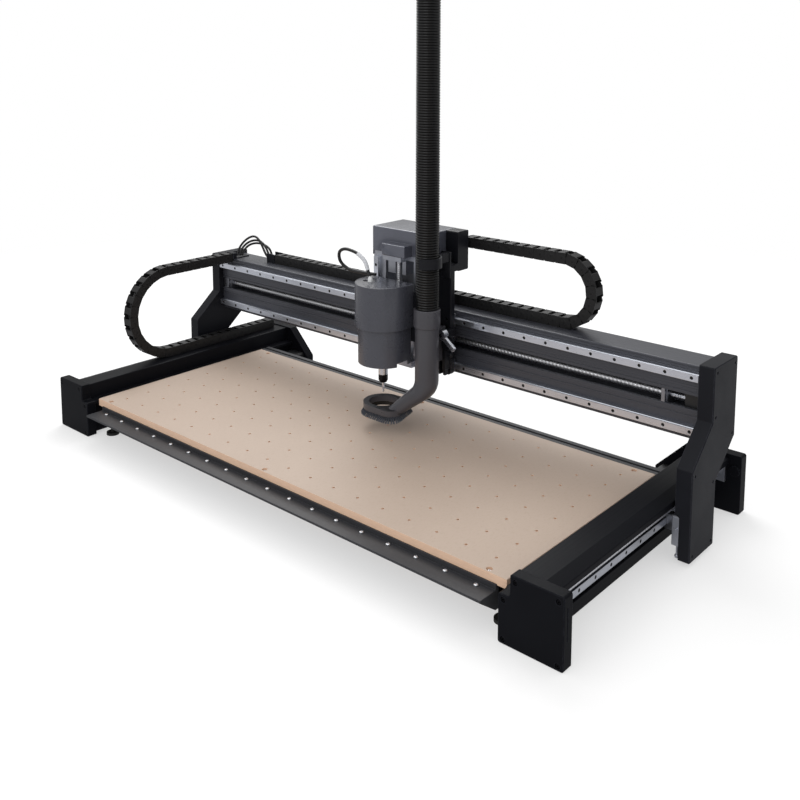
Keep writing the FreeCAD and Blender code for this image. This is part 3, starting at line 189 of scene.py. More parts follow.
def extruded(name, color, rough, axis, shine=0.3, metallic=0.0, edge_highlight=1.9):
    """Anodised extrusion: fine die lines along axis, and a painted highlight that lightens the colour along sharp
    edges.
    """
    f = Finish(name)
    scale = [420.0, 420.0, 420.0]
    scale["xyz".index(axis)] = 1.2
    lines = f.noise(1.0, 4.0, f.stretched(scale), 0.7)
    clouds = f.ranged(f.noise(5.0, 4.0), 0.3, 0.7, 0.0, 1.0)
    base = f.blend(clouds, scaled(color, 0.88), scaled(color, 1.1))
    streaked = f.blend(f.ranged(lines, 0.35, 0.65, 0.0, 1.0), base, scaled(color, 1.22))
    # painted highlight: the colour turns lighter along sharp edges
    mask = f.edge_mask(0.001)
    f.put(Base_Color=f.blend(mask, streaked, scaled(color, edge_highlight)), Metallic=metallic, Specular_IOR_Level=shine,
          Roughness=f.ranged(lines, 0.3, 0.7, rough - 0.06, rough + 0.08),
          Normal=f.bump(lines, 0.14, 0.0002, f.rounded(0.001)))
    return f.material


def ground_steel(name, color, rough, axis=None, edge=0.0006):
    """Ground or turned steel: grinding lines across the light, a thin film of oil."""
    f = Finish(name)
    scale = [900.0, 900.0, 900.0]
    if axis:
        scale["xyz".index(axis)] = 9.0
    lines = f.noise(1.0, 3.0, f.stretched(scale), 0.65)
    film = f.noise(22.0, 4.0)
    f.put(Base_Color=f.blend(f.ranged(film, 0.3, 0.7, 0.0, 1.0), scaled(color, 0.93), color), Metallic=1.0,
          Roughness=f.ranged(lines, 0.3, 0.7, rough - 0.05, rough + 0.10),
          Normal=f.bump(lines, 0.05, 0.0001, f.rounded(edge)))
    return f.material


def screw_steel(name, bright, black, reach):
    """Bright screws in the frame's front, black ones beyond reach from the middle, where the end caps are."""
    f = Finish(name)
    away = f.node("ShaderNodeMath", operation="ABSOLUTE")
    f.feed(away.inputs[0], f.part(f.place, "X"))
    far = f.ranged(away.outputs[0], reach - 0.001, reach + 0.001, 0.0, 1.0)
    lines = f.noise(900.0, 3.0)
    f.put(Base_Color=f.blend(far, bright, black), Metallic=1.0, Roughness=f.ranged(lines, 0.3, 0.7, 0.2, 0.34),
          Normal=f.bump(lines, 0.10, 0.0001, f.rounded(0.0004)))
    return f.material


def moulded(name, color, rough, grain=1800.0, depth=0.2, edge=0.001, coat=0.0, cloud=0.12, shine=0.4):
    """Moulded plastic or rubber: a fine spark-eroded grain, slight shine changes, and soft edges with a painted
    highlight that lightens the colour along them.
    """
    f = Finish(name)
    cells = f.spots(grain)
    clouds = f.ranged(f.noise(16.0, 4.0), 0.3, 0.7, 0.0, 1.0)
    # painted highlight: the colour turns lighter along sharp edges
    mask = f.times(f.edge_mask(edge), 0.5)
    base = f.blend(clouds, scaled(color, 1.0 - cloud), scaled(color, 1.0 + cloud))
    f.put(Base_Color=f.blend(mask, base, scaled(color, 1.7)), Coat_Weight=coat, Coat_Roughness=0.2,
          Specular_IOR_Level=shine, Roughness=f.ranged(f.noise(30.0, 4.0), 0.3, 0.7, rough - 0.05, rough + 0.06),
          Normal=f.bump(cells, depth, 0.00012, f.rounded(edge)))
    return f.material


def shoe_plastic(name, color, lip, rough, lip_top):
    """Satin moulded plastic whose flat upward faces below lip_top, the upper lip, are coloured near black."""
    f = Finish(name)
    normal = f.node("ShaderNodeNewGeometry").outputs["Normal"]
    flat = f.ranged(f.part(normal, "Z"), 0.90, 0.97, 0.0, 1.0)
    below = f.ranged(f.part(f.place, "Z"), lip_top, lip_top + 0.001, 1.0, 0.0)
    on_lip = f.times(flat, below)
    clouds = f.ranged(f.noise(16.0, 4.0), 0.3, 0.7, 0.0, 1.0)
    base = f.blend(clouds, scaled(color, 0.94), scaled(color, 1.06))
    # painted highlight: the colour turns lighter along sharp edges
    edge_highlighted = f.blend(f.times(f.edge_mask(0.0016), 0.5), base, scaled(color, 1.7))
    f.put(Base_Color=f.blend(on_lip, edge_highlighted, lip), Specular_IOR_Level=0.5, Coat_Weight=0.1, Coat_Roughness=0.25,
          Roughness=f.ranged(f.noise(30.0, 4.0), 0.3, 0.7, rough - 0.03, rough + 0.05),
          Normal=f.bump(f.spots(2400.0), 0.06, 0.00012, f.rounded(0.0016)))
    return f.material


def fibreboard(name):
    """Raw fibreboard: matted fibres on the faces, warmer and rougher sawn edges."""
    f = Finish(name)
    fibres = f.noise(520.0, 5.0, f.stretched((1.0, 1.6, 1.0)), 0.75)
    flecks = f.ranged(f.noise(240.0, 3.0, f.stretched((1.0, 0.35, 1.0)), 0.8), 0.52, 0.74, 0.0, 1.0)
    broad = f.ranged(f.noise(2.6, 5.0), 0.3, 0.7, 0.0, 1.0)
    face = f.blend(broad, BOARD_TONES[0], BOARD_TONES[1])
    face = f.blend(f.times(flecks, 0.35), face, BOARD_TONES[2])
    face = f.blend(f.ranged(fibres, 0.3, 0.7, 0.0, 0.28), face, BOARD_TONES[3])
    normal = f.node("ShaderNodeNewGeometry").outputs["Normal"]
    sides = f.ranged(f.part(normal, "Z"), 0.2, 0.9, 1.0, 0.0)
    layered = f.noise(1.0, 3.0, f.stretched((60.0, 60.0, 900.0)), 0.7)
    sawn = f.blend(f.ranged(layered, 0.3, 0.7, 0.0, 1.0), BOARD_EDGE[0], BOARD_EDGE[1])
    f.put(Base_Color=f.blend(sides, face, sawn), Roughness=f.ranged(fibres, 0.3, 0.7, 0.5, 0.66),
          Specular_IOR_Level=0.45, Sheen_Weight=0.12, Sheen_Roughness=0.5,
          Normal=f.bump(fibres, 0.22, 0.0002, f.rounded(0.0006)))
    return f.material


def braided(name, color, dark):
    """A woven sleeve: crossed strands."""
    f = Finish(name)
    weave = f.node("ShaderNodeTexChecker")
    f.feed(weave.inputs["Vector"], f.place)
    weave.inputs["Scale"].default_value = 1100.0
    shade = f.blend(weave.outputs["Fac"], color, dark)
    f.put(Base_Color=shade, Roughness=0.42, Normal=f.bump(weave.outputs["Fac"], 0.5, 0.0003))
    return f.material


def bristled(name, root, tip, low, high):
    """Nylon filaments that get paler towards the tips."""
    f = Finish(name)
    height = f.ranged(f.part(f.place, "Z"), low, high, 1.0, 0.0)
    strands = f.noise(1400.0, 2.0)
    base = f.blend(height, root, tip)
    f.put(Base_Color=f.blend(f.ranged(strands, 0.35, 0.65, 0.0, 0.5), base, scaled(tip, 1.7)),
          Roughness=f.ranged(strands, 0.3, 0.7, 0.34, 0.55), Normal=f.bump(strands, 0.4, 0.0002))
    return f.material


BOARD_TONES = ((0.408, 0.312, 0.246), (0.448, 0.348, 0.276), (0.295, 0.205, 0.146), (0.512, 0.412, 0.334))
BOARD_EDGE = ((0.760, 0.520, 0.370), (0.640, 0.430, 0.300))
STEEL = (0.82, 0.85, 0.93)

FINISHES = {
    # caps and legs: their sharp edges are painted much lighter, a painted highlight
    "caps": anodised("cap_black_anodise", (0.0052, 0.0055, 0.0072), 0.36, 0.05, edge_highlight=7.0, edge=0.0018),
    "legs": anodised("leg_black_anodise", (0.0105, 0.0110, 0.0140), 0.36, 0.10, edge_highlight=7.0, edge=0.0018),
    "carriage": anodised("carriage_anodise", (0.0070, 0.0073, 0.0098), 0.30, 0.22, edge_highlight=3.0),
    "enamel": anodised("cover_enamel", (0.0950, 0.1000, 0.1280), 0.20, 0.8, 0.40, 0.8, edge_highlight=1.8, edge=0.0018),
    "raw": anodised("blasted_aluminium", (0.50, 0.515, 0.57), 0.36, 0.5, 0.9, edge_highlight=1.2),
    "side": extruded("side_beam_anodise", (0.0050, 0.0053, 0.0070), 0.40, "y", 0.07),
    "beam": extruded("gantry_beam_anodise", (0.044, 0.046, 0.056), 0.30, "x", 0.60, 0.25),
    "cross": extruded("cross_member_anodise", (0.030, 0.0305, 0.034), 0.40, "x", 0.25),
    "rail_x": ground_steel("rail_steel_x", STEEL, 0.30, "x"),
    "rail_y": ground_steel("rail_steel_y", STEEL, 0.30, "y"),
    "rail_z": ground_steel("rail_steel_z", STEEL, 0.24, "z"),
    "turned": ground_steel("turned_steel", (0.78, 0.80, 0.86), 0.22),
    # painted light: a brighter copy of steel than the turned steel, so the screws look lit in the beam's dark
    # recess
    "thread": ground_steel("thread_steel_painted_light", (0.95, 0.96, 1.0), 0.40),
    "cast": ground_steel("block_steel", (0.38, 0.39, 0.43), 0.36),
    "screws": screw_steel("frame_screw_steel", (0.74, 0.76, 0.80), (0.012, 0.012, 0.014), 0.68),
    "black_oxide": ground_steel("black_oxide_steel", (0.020, 0.020, 0.023), 0.38),
    "motor": moulded("motor_black_paint", (0.012, 0.012, 0.013), 0.36, 900.0, 0.12, coat=0.2),
    "belt": moulded("belt_rubber", (0.010, 0.010, 0.010), 0.68, 1400.0, 0.3),
    "board": fibreboard("raw_fibreboard"),
    "insert": ground_steel("insert_zinc", (0.22, 0.19, 0.15), 0.42),
    "foot": moulded("foot_rubber", (0.015, 0.015, 0.015), 0.62, 1100.0, 0.35, shine=0.3),
    "chain": moulded("chain_nylon", (0.0105, 0.0103, 0.0108), 0.42, 1500.0, 0.22, 0.0007, shine=0.3),
    "plug": moulded("rail_plug", (0.0040, 0.0040, 0.0045), 0.40, 1500.0, 0.1, 0.0003, shine=0.3),
    "cable": moulded("cable_sheath", (0.0090, 0.0090, 0.0100), 0.34, 2400.0, 0.12, 0.0005, 0.15),
    "cover": moulded("housing_plastic", (0.0500, 0.0520, 0.0650), 0.28, 2400.0, 0.06, 0.0016, 0.5, 0.06),
    "shoe": shoe_plastic("shoe_plastic", (0.0500, 0.0490, 0.0570), (0.009, 0.009, 0.011), 0.30, 0.0665),
    "hose": moulded("hose_plastic", (0.0030, 0.0030, 0.0032), 0.20, 700.0, 0.04, 0.0003, 0.0, shine=0.45),
    "white": moulded("fitting_white_nylon", (0.72, 0.73, 0.74), 0.35, 1500.0, 0.12, 0.0005, 0.0, 0.03),
}

NODE_FINISH = {
    "caps": ("front_end_caps", "rear_end_caps", "rear_cap_covers"),
    "legs": ("gantry_leg_left", "gantry_leg_right", "chain_brackets"),
    "carriage": ("x_carriage_plate", "chain_junction_box", "dust_arm_bracket", "z_slide_plate", "hose_clip"),
    "enamel": ("z_top_cover",),
    "raw": ("z_column", "y_carriage_plates"),
    "side": ("side_beams",),
    "beam": ("gantry_beam",),
    "cross": ("cross_members", "front_nose"),
    "rail_x": ("x_rails",),
    "rail_y": ("y_rails",),
    "rail_z": ("z_rails",),
    "screws": ("frame_screws",),
    "turned": ("y_motor_pulley_left", "y_motor_pulley_right", "router_bit", "clamp_lever",
               "spindle_motor"),
    "black_oxide": ("collet_nut",),
    "cast": ("y_linear_blocks", "x_linear_blocks", "z_linear_blocks", "y_ball_nuts", "x_ball_nut", "z_ball_nut",
             "y_screw_bearings", "x_screw_bearings"),
    "motor": ("y_motors", "x_motor", "z_motor"),
    "belt": ("y_drive_belts",),
    "board": ("wasteboard",),
    "insert": ("threaded_inserts",),
    "foot": ("levelling_feet",),
    "cable": ("gantry_cables", "spindle_cable"),
    "cover": ("spindle_housing",),
    "shoe": ("dust_shoe", "hose_collar"),
    "hose": ("dust_hose",),
    "chain": ("x_chain_lower_run", "x_chain_loop", "x_chain_upper_run", "y_chain_lower_run", "y_chain_loop",
              "y_chain_upper_run", "brush_ring"),
}
SCREW_NODES = ("x_screw", "z_screw", "y_screw_left", "y_screw_right")


CREASE = math.radians(32)
WELD_REACH = 1e-6


def dress(node, finish):
    """Gives a CAD node its finish, and shades its curved faces smoothly while its edges stay crisp."""
    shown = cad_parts[node]
    shown.data.materials.clear()
    shown.data.materials.append(FINISHES[finish])
    shown.data.polygons.foreach_set("use_smooth", [True] * len(shown.data.polygons))
    if shown.data.attributes.get("custom_normal"):
        shown.data.attributes.remove(shown.data.attributes["custom_normal"])
    weld = shown.modifiers.new("weld", "WELD")
    weld.merge_threshold = WELD_REACH
    split = shown.modifiers.new("split", "EDGE_SPLIT")
    split.split_angle = CREASE


for finish, nodes in NODE_FINISH.items():
    for node in nodes:
        dress(node, finish)
for node in SCREW_NODES:
    dress(node, "turned")


# ---------------------------------------------------------------- mesh building

class Build:
    """Collects vertices and faces for one piece."""

    def __init__(self):
        self.points = []
        self.faces = []

    def add(self, points, faces):
        start = len(self.points)
        self.points.extend(Vector(p) for p in points)
        self.faces.extend(tuple(i + start for i in face) for face in faces)

    def done(self, name, finish, smooth_angle=None):
        mesh = bpy.data.meshes.new(name)
        mesh.from_pydata([tuple(p) for p in self.points], [], self.faces)
        mesh.validate()
        piece = bpy.data.objects.new(name, mesh)
        bpy.context.scene.collection.objects.link(piece)
        mesh.materials.append(FINISHES[finish])
        if smooth_angle:
            mesh.polygons.foreach_set("use_smooth", [True] * len(mesh.polygons))
            mark_creases(mesh, math.radians(smooth_angle))
        return piece


def mark_creases(mesh, angle):
    """Marks as sharp each edge whose two faces turn by more than angle."""
    sides = {}
    for face in mesh.polygons:
        for key in face.edge_keys:
            sides.setdefault(key, []).append(face.normal)
    sharp = []
    for edge in mesh.edges:
        normals = sides.get(edge.key, [])
        turned = len(normals) == 2 and normals[0].angle(normals[1], 0.0) > angle
        sharp.append(turned or len(normals) != 2)
    attribute = mesh.attributes.new("sharp_edge", "BOOLEAN", "EDGE")
    attribute.data.foreach_set("value", sharp)


def frames(path):
    """(centre, side, up) at each point of a path, with no twist along it."""
    count = len(path)
    tangents = [(path[min(i + 1, count - 1)] - path[max(i - 1, 0)]).normalized() for i in range(count)]
    start = Vector((0, 0, 1)) if abs(tangents[0].z) < 0.9 else Vector((1, 0, 0))
    side = tangents[0].cross(start).normalized()
    result = []
    for centre, tangent in zip(path, tangents):
        side = (side - tangent * side.dot(tangent)).normalized()
        result.append((centre, side, tangent.cross(side)))
    return result


def tube(build, path, radius, sides=12):
    """A closed round tube along path; radius is a number or a function of (step, angle)."""
    rings = []
    for step, (centre, side, up) in enumerate(frames(path)):
        for k in range(sides):
            angle = 2 * math.pi * k / sides
            r = radius(step, angle) if callable(radius) else radius
            rings.append(centre + side * (math.cos(angle) * r) + up * (math.sin(angle) * r))
    faces = []
    for step in range(len(path) - 1):
        for k in range(sides):
            a, b = step * sides + k, step * sides + (k + 1) % sides
            faces.append((a, b, b + sides, a + sides))
    last = (len(path) - 1) * sides
    faces.append(tuple(range(sides - 1, -1, -1)))
    faces.append(tuple(range(last, last + sides)))
    build.add(rings, faces)


def smooth_path(points, steps):
    """Points along a Catmull-Rom curve through points."""
    points = [Vector(p) for p in points]
    padded = [points[0] * 2 - points[1]] + points + [points[-1] * 2 - points[-2]]
    path = []
    for i in range(len(points) - 1):
        a, b, c, d = padded[i:i + 4]
        for k in range(steps):
            t = k / steps
            path.append(0.5 * ((2 * b) + (c - a) * t + (2 * a - 5 * b + 4 * c - d) * t * t
                               + (3 * b - a - 3 * c + d) * t ** 3))
    return path + [points[-1]]


def slab(build, outline, at, along, up, side, near, far):
    """An outline in the (along, up) plane, extruded sideways from near to far."""
    count = len(outline)
    points = [at + along * u + up * v + side * s for s in (near, far) for u, v in outline]
    faces = [tuple(range(count - 1, -1, -1)), tuple(range(count, 2 * count))]
    for k in range(count):
        n = (k + 1) % count
        faces.append((k, n, n + count, k + count))
    if near > far:
        faces = [tuple(reversed(face)) for face in faces]
    build.add(points, faces)


# ---------------------------------------------------------------- ball screws

def ball_screw(node, axis, body, journal, lead, radius, starts=2):
    """A rolled screw with real helical grooves between plain journals (lengths in millimetres at its two ends)."""
    low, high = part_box(node)
    index = "xyz".index(axis)
    along = Vector([1.0 if i == index else 0.0 for i in range(3)])
    begin, end = low[index], high[index]
    groove_start, groove_end = begin + journal[0] * MM, end - journal[1] * MM
    step = 1.25 * MM
    count = int((groove_end - groove_start) / step)
    centre = Vector((low + high) / 2)
    centre[index] = 0.0
    places = [begin, groove_start - 0.5 * MM]
    places += [groove_start + (groove_end - groove_start) * k / count for k in range(count + 1)]
    places += [groove_end + 0.5 * MM, end]
    path = [centre + along * p for p in places]

    def size(i, angle):
        if i < 2 or i >= len(places) - 2:
            return radius - 2 * MM
        phase = (angle / (2 * math.pi) - places[i] / lead) * starts
        share = abs((phase % 1.0) - 0.5) * 2
        return radius - 0.9 * MM * max(0.0, 1 - share / 0.62) ** 0.7

    build = Build()
    tube(build, path, size, 18)
    screw = build.done(node + "_thread", "thread", 50)
    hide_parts(node)
    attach(screw, body)


def helical_coupling():
    """The X motor's coupling: a turned sleeve with a spiral slot and a clamp hub at each end."""
    low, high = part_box("x_screw")
    centre = (low + high) / 2
    end = high.x - 10 * MM
    steps = 46
    path = [Vector((end - 34 * MM + 34 * MM * k / steps, centre.y, centre.z)) for k in range(steps + 1)]

    def size(i, angle):
        share = i / steps
        if i in (0, steps):
            return 9.3 * MM
        if share < 0.2 or share > 0.8:
            return 10.0 * MM
        phase = (angle / (2 * math.pi) - share * 6) % 1.0
        return (8.4 if phase < 0.28 else 10.0) * MM

    build = Build()
    tube(build, path, size, 24)
    sleeve = build.done("x_screw_coupling", "turned", 40)
    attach(sleeve, "x_screw")


def toothed_pulley(label, body, centre, low, high):
    """A belt pulley on a Y screw: teeth between two thin flanges."""
    profile = [(low, 14.0, 0), (low + 1.2, 14.0, 0), (low + 1.25, 12.6, 1), (high - 1.25, 12.6, 1),
               (high - 1.2, 14.0, 0), (high, 14.0, 0)]
    path = [Vector((centre.x, y * MM, centre.z)) for y, _, _ in profile]

    def size(i, angle):
        _, radius, toothed = profile[i]
        return (radius + (0.7 if toothed and math.cos(angle * 20) > 0 else 0.0)) * MM

    build = Build()
    tube(build, path, size, 80)
    pulley = build.done(label, "turned", 40)
    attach(pulley, body)


TRAVEL_LEAD, PLUNGE_LEAD = 20 * MM, 10 * MM
TRAVEL_RADIUS, PLUNGE_RADIUS = 8 * MM, 6 * MM
PULLEY_Y = (432.0, 444.0)

ball_screw("x_screw", "x", "x_screw", (20, 59.5), TRAVEL_LEAD, TRAVEL_RADIUS)
ball_screw("y_screw_left", "y", "y_screw_left", (15, 37), TRAVEL_LEAD, TRAVEL_RADIUS)
ball_screw("y_screw_right", "y", "y_screw_right", (15, 37), TRAVEL_LEAD, TRAVEL_RADIUS)
ball_screw("z_screw", "z", "z_screw", (14, 28), PLUNGE_LEAD, PLUNGE_RADIUS)
helical_coupling()
for side in ("left", "right"):
    low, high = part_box("y_screw_" + side)
    toothed_pulley("y_screw_pulley_" + side, "y_screw_" + side, (low + high) / 2, *PULLEY_Y)


# ---------------------------------------------------------------- rail plugs

def rail_plugs(label, body, places, outward, radius=3.75):
    """Dished black plugs in a rail's screw holes."""
    build = Build()
    direction = Vector(outward)
    across = direction.cross(Vector((0, 0, 1))) if abs(direction.z) < 0.5 else Vector((1, 0, 0))
    other = direction.cross(across)
    sides = 20
    rings = ((radius, -1.6), (radius, -0.2), (radius * 0.86, 0.0), (radius * 0.62, -0.35), (radius * 0.2, -0.8))
    for place in places:
        points, faces = [], []
        for r, out in rings:
            for k in range(sides):
                angle = 2 * math.pi * k / sides
                points.append(Vector(place) + (across * math.cos(angle) + other * math.sin(angle)) * (r * MM)
                              + direction * (out * MM))
        for row in range(len(rings) - 1):
            for k in range(sides):
                n = (k + 1) % sides
                faces.append((row * sides + k, row * sides + n, (row + 1) * sides + n, (row + 1) * sides + k))
        last = (len(rings) - 1) * sides
        faces.append(tuple(range(last, last + sides)))
        faces.append(tuple(range(sides - 1, -1, -1)))
        build.add(points, faces)
    plugs = build.done(label, "plug", 35)
    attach(plugs, body)


RAIL_HALF = 7.5 * MM
RAIL_PITCH = 60 * MM
Y_RAIL_FIRST_HOLE = 26 * MM
Z_RAIL_PITCH = 40 * MM
Z_RAIL_FIRST_HOLE = 156 * MM

low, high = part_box("x_rails")
rail_plugs("x_rail_plugs", "gantry",
           [(RAIL_PITCH * k, low.y, z) for k in range(-13, 14) for z in (low.z + RAIL_HALF, high.z - RAIL_HALF)],
           (0, -1, 0))
low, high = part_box("y_rails")
for sign, label in ((1, "right"), (-1, "left")):
    rail_plugs("y_rail_plugs_" + label, "frame",
               [(sign * high.x, Y_RAIL_FIRST_HOLE + RAIL_PITCH * k, low.z + RAIL_HALF) for k in range(-5, 7)],
               (sign, 0, 0))
low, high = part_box("z_rails")
rail_plugs("z_rail_plugs", "x_carriage",
           [(x, low.y, Z_RAIL_FIRST_HOLE + Z_RAIL_PITCH * k)
            for k in range(1, 7) for x in (low.x + RAIL_HALF, high.x - RAIL_HALF)],
           (0, -1, 0))


# ---------------------------------------------------------------- cable chains

LINK_PITCH = 30.0 * MM
PLATE_THICK = 2.6 * MM
PLATE_GAP = 0.1 * MM
BOSS_RADIUS = 6.6 * MM
PIVOT_RADIUS = 2.3 * MM
BAR_HALF = 9.4 * MM
CHAIN_CABLES = ((-8.0, 3.4, 2.0), (-0.5, 3.0, -2.5), (7.5, 3.9, 1.0))


def link_plate(back, front, half_high, nose, steps=6):
    """A side plate's outline: nearly square at the back, with a rounded nose at the front."""
    outline = [(-back, half_high * 0.86), (-back, -half_high * 0.86), (-back + 0.0012, -half_high)]
    for k in range(steps + 1):
        angle = math.radians(-90 + 180 * k / steps)
        outline.append((front - nose + math.cos(angle) * nose, math.sin(angle) * half_high))
    outline.append((-back + 0.0012, half_high))
    return outline


def disc(radius, at_u, sides=14):
    return [(at_u + math.cos(2 * math.pi * k / sides) * radius, math.sin(2 * math.pi * k / sides) * radius)
            for k in range(sides)]


def chain_link(build, dark, at, along, up, wide, high, pitch):
    """One link: side plates that overlap the next link's, pivot bosses with dark discs on them as painted shade for
    their holes, and two cross bars.
    """
    side = along.cross(up)
    half, half_high = wide / 2, high / 2
    outer = link_plate(pitch * 0.50, pitch * 0.50, half_high, 2.6 * MM)
    inner = link_plate(pitch * 0.30, pitch * 0.74, half_high * 0.95, 7.0 * MM)
    for sign in (-1, 1):
        slab(build, outer, at, along, up, side, sign * half, sign * (half - PLATE_THICK))
        slab(build, inner, at, along, up, side, sign * (half - PLATE_THICK - PLATE_GAP),
             sign * (half - 2 * PLATE_THICK))
        # the dark discs on the pivot bosses are painted shade in place of the pivot holes
        for mesh, radius, proud in ((build, BOSS_RADIUS, 0.4 * MM), (dark, PIVOT_RADIUS, 0.6 * MM)):
            slab(mesh, disc(radius, -pitch * 0.12), at, along, up, side, sign * (half + proud), sign * (half - MM))
    for level in (half_high - 1.5 * MM, -half_high + 1.5 * MM):
        top = BAR_HALF - 1.8 * MM
        bar = [(-BAR_HALF, level - 1.3 * MM), (BAR_HALF, level - 1.3 * MM), (BAR_HALF, level + 0.3 * MM),
               (top, level + 1.4 * MM), (-top, level + 1.4 * MM), (-BAR_HALF, level + 0.3 * MM)]
        slab(build, bar, at, along, up, side, -half + 1.2 * MM, half - 1.2 * MM)


def chain_route(run_axis, cross, start, loop, end, low_z, radius):
    """A list of (section, centre, along, up) link places: out along the lower run, round the loop and back."""
    direction = 1.0 if loop > start else -1.0
    forward = Vector(run_axis) * direction
    zenith = Vector((0, 0, 1))
    base = Vector(cross)
    lower, turn, upper = abs(loop - start), math.pi * radius, abs(loop - end)
    count = round((lower + turn + upper) / LINK_PITCH)
    pitch = (lower + turn + upper) / count
    places = []
    for number in range(count):
        travelled = pitch * (number + 0.5)
        if travelled < lower:
            centre = base + Vector(run_axis) * (start + direction * travelled) + zenith * low_z
            places.append(("lower", centre, forward, -zenith))
        elif travelled < lower + turn:
            angle = (travelled - lower) / radius
            outward = forward * math.sin(angle) - zenith * math.cos(angle)
            centre = base + Vector(run_axis) * loop + zenith * (low_z + radius) + outward * radius
            places.append(("loop", centre, forward * math.cos(angle) + zenith * math.sin(angle), outward))
        else:
            back = travelled - lower - turn
            centre = base + Vector(run_axis) * (loop - direction * back) + zenith * (low_z + 2 * radius)
            places.append(("upper", centre, -forward, zenith))
    return places, pitch


def chain(label, names, axis, cross, start, loop, end, low_z, radius, wide, high, joins):
    """All three sections of one chain, links and the cables inside; the loop is attached to the body it moves with,
    and the two runs are left unattached.
    """
    places, pitch = chain_route(axis, cross, start, loop, end, low_z, radius)
    for section in ("lower", "loop", "upper"):
        mine = [place for place in places if place[0] == section]
        links, hole_shade = Build(), Build()
        for _, centre, along, up in mine:
            chain_link(links, hole_shade, centre, along, up, wide, high, pitch)
        piece = links.done(label + "_links_" + section, "chain")
        # dark discs in the pivot bosses: painted shade for the holes
        hole_shade_piece = hole_shade.done(label + "_pivot_hole_shade_" + section, "plug")
        inner = Build()
        index = places.index(mine[0]), places.index(mine[-1])
        spread = places[max(index[0] - 1, 0):index[1] + 2]
        for lane, size, level in CHAIN_CABLES:
            path = [c + a.cross(u) * (lane * MM) + u * (level * MM) for _, c, a, u in spread]
            tube(inner, path, size * MM, 8)
        cables = inner.done(label + "_cables_" + section, "cable", 60)
        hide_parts(names[section])
        for made, slot in ((piece, "chain_plastic"), (hole_shade_piece, "chain_plastic"), (cables, "cable_black")):
            if section == "loop":
                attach(made, joins["loop"])
            else:
                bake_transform(made)


def chain_numbers(names, index):
    """Where a chain runs, read from its three CAD nodes."""
    lower, loop, upper = (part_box(names[part]) for part in ("lower", "loop", "upper"))
    other = 1 - index
    high = lower[1].z - lower[0].z
    wide = lower[1][other] - lower[0][other]
    low_z = (lower[0].z + lower[1].z) / 2
    radius = (upper[0].z + upper[1].z) / 2 / 2 - low_z / 2
    cross = Vector((0, 0, 0))
    cross[other] = (lower[0][other] + lower[1][other]) / 2
    return lower, loop, upper, low_z, radius, cross, wide, high


x_names = {"lower": "x_chain_lower_run", "loop": "x_chain_loop", "upper": "x_chain_upper_run"}
lower, loop, upper, low_z, radius, cross, wide, high = chain_numbers(x_names, 0)
x_start, x_loop, x_end = lower[0].x, lower[1].x, upper[0].x
chain("x_chain", x_names, (1, 0, 0), cross, x_start, x_loop, x_end, low_z, radius, wide, high, {
    "loop": "x_chain_loop",
    "lower": ("gantry", "x_chain_loop", (x_start, 0, 0), (x_loop, 0, 0)),
    "upper": ("gantry", "x_carriage", (2 * x_loop - x_end, 0, 0), (x_end, 0, 0)),
})

y_names = {"lower": "y_chain_lower_run", "loop": "y_chain_loop", "upper": "y_chain_upper_run"}
lower, loop, upper, low_z, radius, cross, wide, high = chain_numbers(y_names, 1)
y_start, y_loop, y_end = lower[1].y, lower[0].y, upper[1].y
chain("y_chain", y_names, (0, 1, 0), cross, y_start, y_loop, y_end, low_z, radius, wide, high, {
    "loop": "y_chain_loop",
    "lower": ("frame", "y_chain_loop", (0, y_start, 0), (0, y_loop, 0)),
    "upper": ("frame", "gantry", (0, 2 * y_loop - y_end, 0), (0, y_end, 0)),
})


# ---------------------------------------------------------------- hose

HOSE_BORE = 23.0 * MM
RIB_PITCH = 6.3 * MM
RIB_DEPTH = 2.6 * MM


def ribbed_hose():
    """The hose: rounded ribs at an even pitch, an open bore and plain ends inside its collar."""
    low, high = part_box("dust_hose")
    centre = (low + high) / 2
    outer = (high.x - low.x) / 2
    sides, steps_per_rib = 40, 9
    ribs = int((high.z - low.z) / RIB_PITCH)
    count = ribs * steps_per_rib
    points, faces = [], []
    for row in range(count + 1):
        z = low.z + (high.z - low.z) * row / count
        rib = math.sin(math.pi * (row % steps_per_rib) / steps_per_rib) ** 0.7
        for k in range(sides):
            angle = 2 * math.pi * k / sides
            r = outer - RIB_DEPTH * (1 - rib)
            points.append((centre.x + r * math.cos(angle), centre.y + r * math.sin(angle), z))
    for row in range(count):
        for k in range(sides):
            a, b = row * sides + k, row * sides + (k + 1) % sides
            faces.append((a, b, b + sides, a + sides))
    base = len(points)
    for z in (low.z, high.z):
        for k in range(sides):
            angle = 2 * math.pi * k / sides
            points.append((centre.x + HOSE_BORE * math.cos(angle), centre.y + HOSE_BORE * math.sin(angle), z))
    last = count * sides
    for k in range(sides):
        n = (k + 1) % sides
        faces.append((base + n, base + k, base + sides + k, base + sides + n))
        faces.append((n, k, base + k, base + n))
        faces.append((last + k, last + n, base + sides + n, base + sides + k))
    build = Build()
    build.add(points, faces)
    hose = build.done("ribbed_hose", "hose", 55)
    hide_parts("dust_hose")
    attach(hose, "dust_shoe")


ribbed_hose()


# ---------------------------------------------------------------- brush

BRUSH_GROW = 7.0 * MM
BRUSH_CORNER_X = (80 * MM, 51 * MM)
BRUSH_ROUNDING = (26 * MM, 12 * MM)
TUFTS, BRISTLES_PER_TUFT = 62, 34
# how far inside the bristle row the dark strip of painted shade stands
SHADE_STRIP_DEPTH = (6.9 * MM, 6.1 * MM)


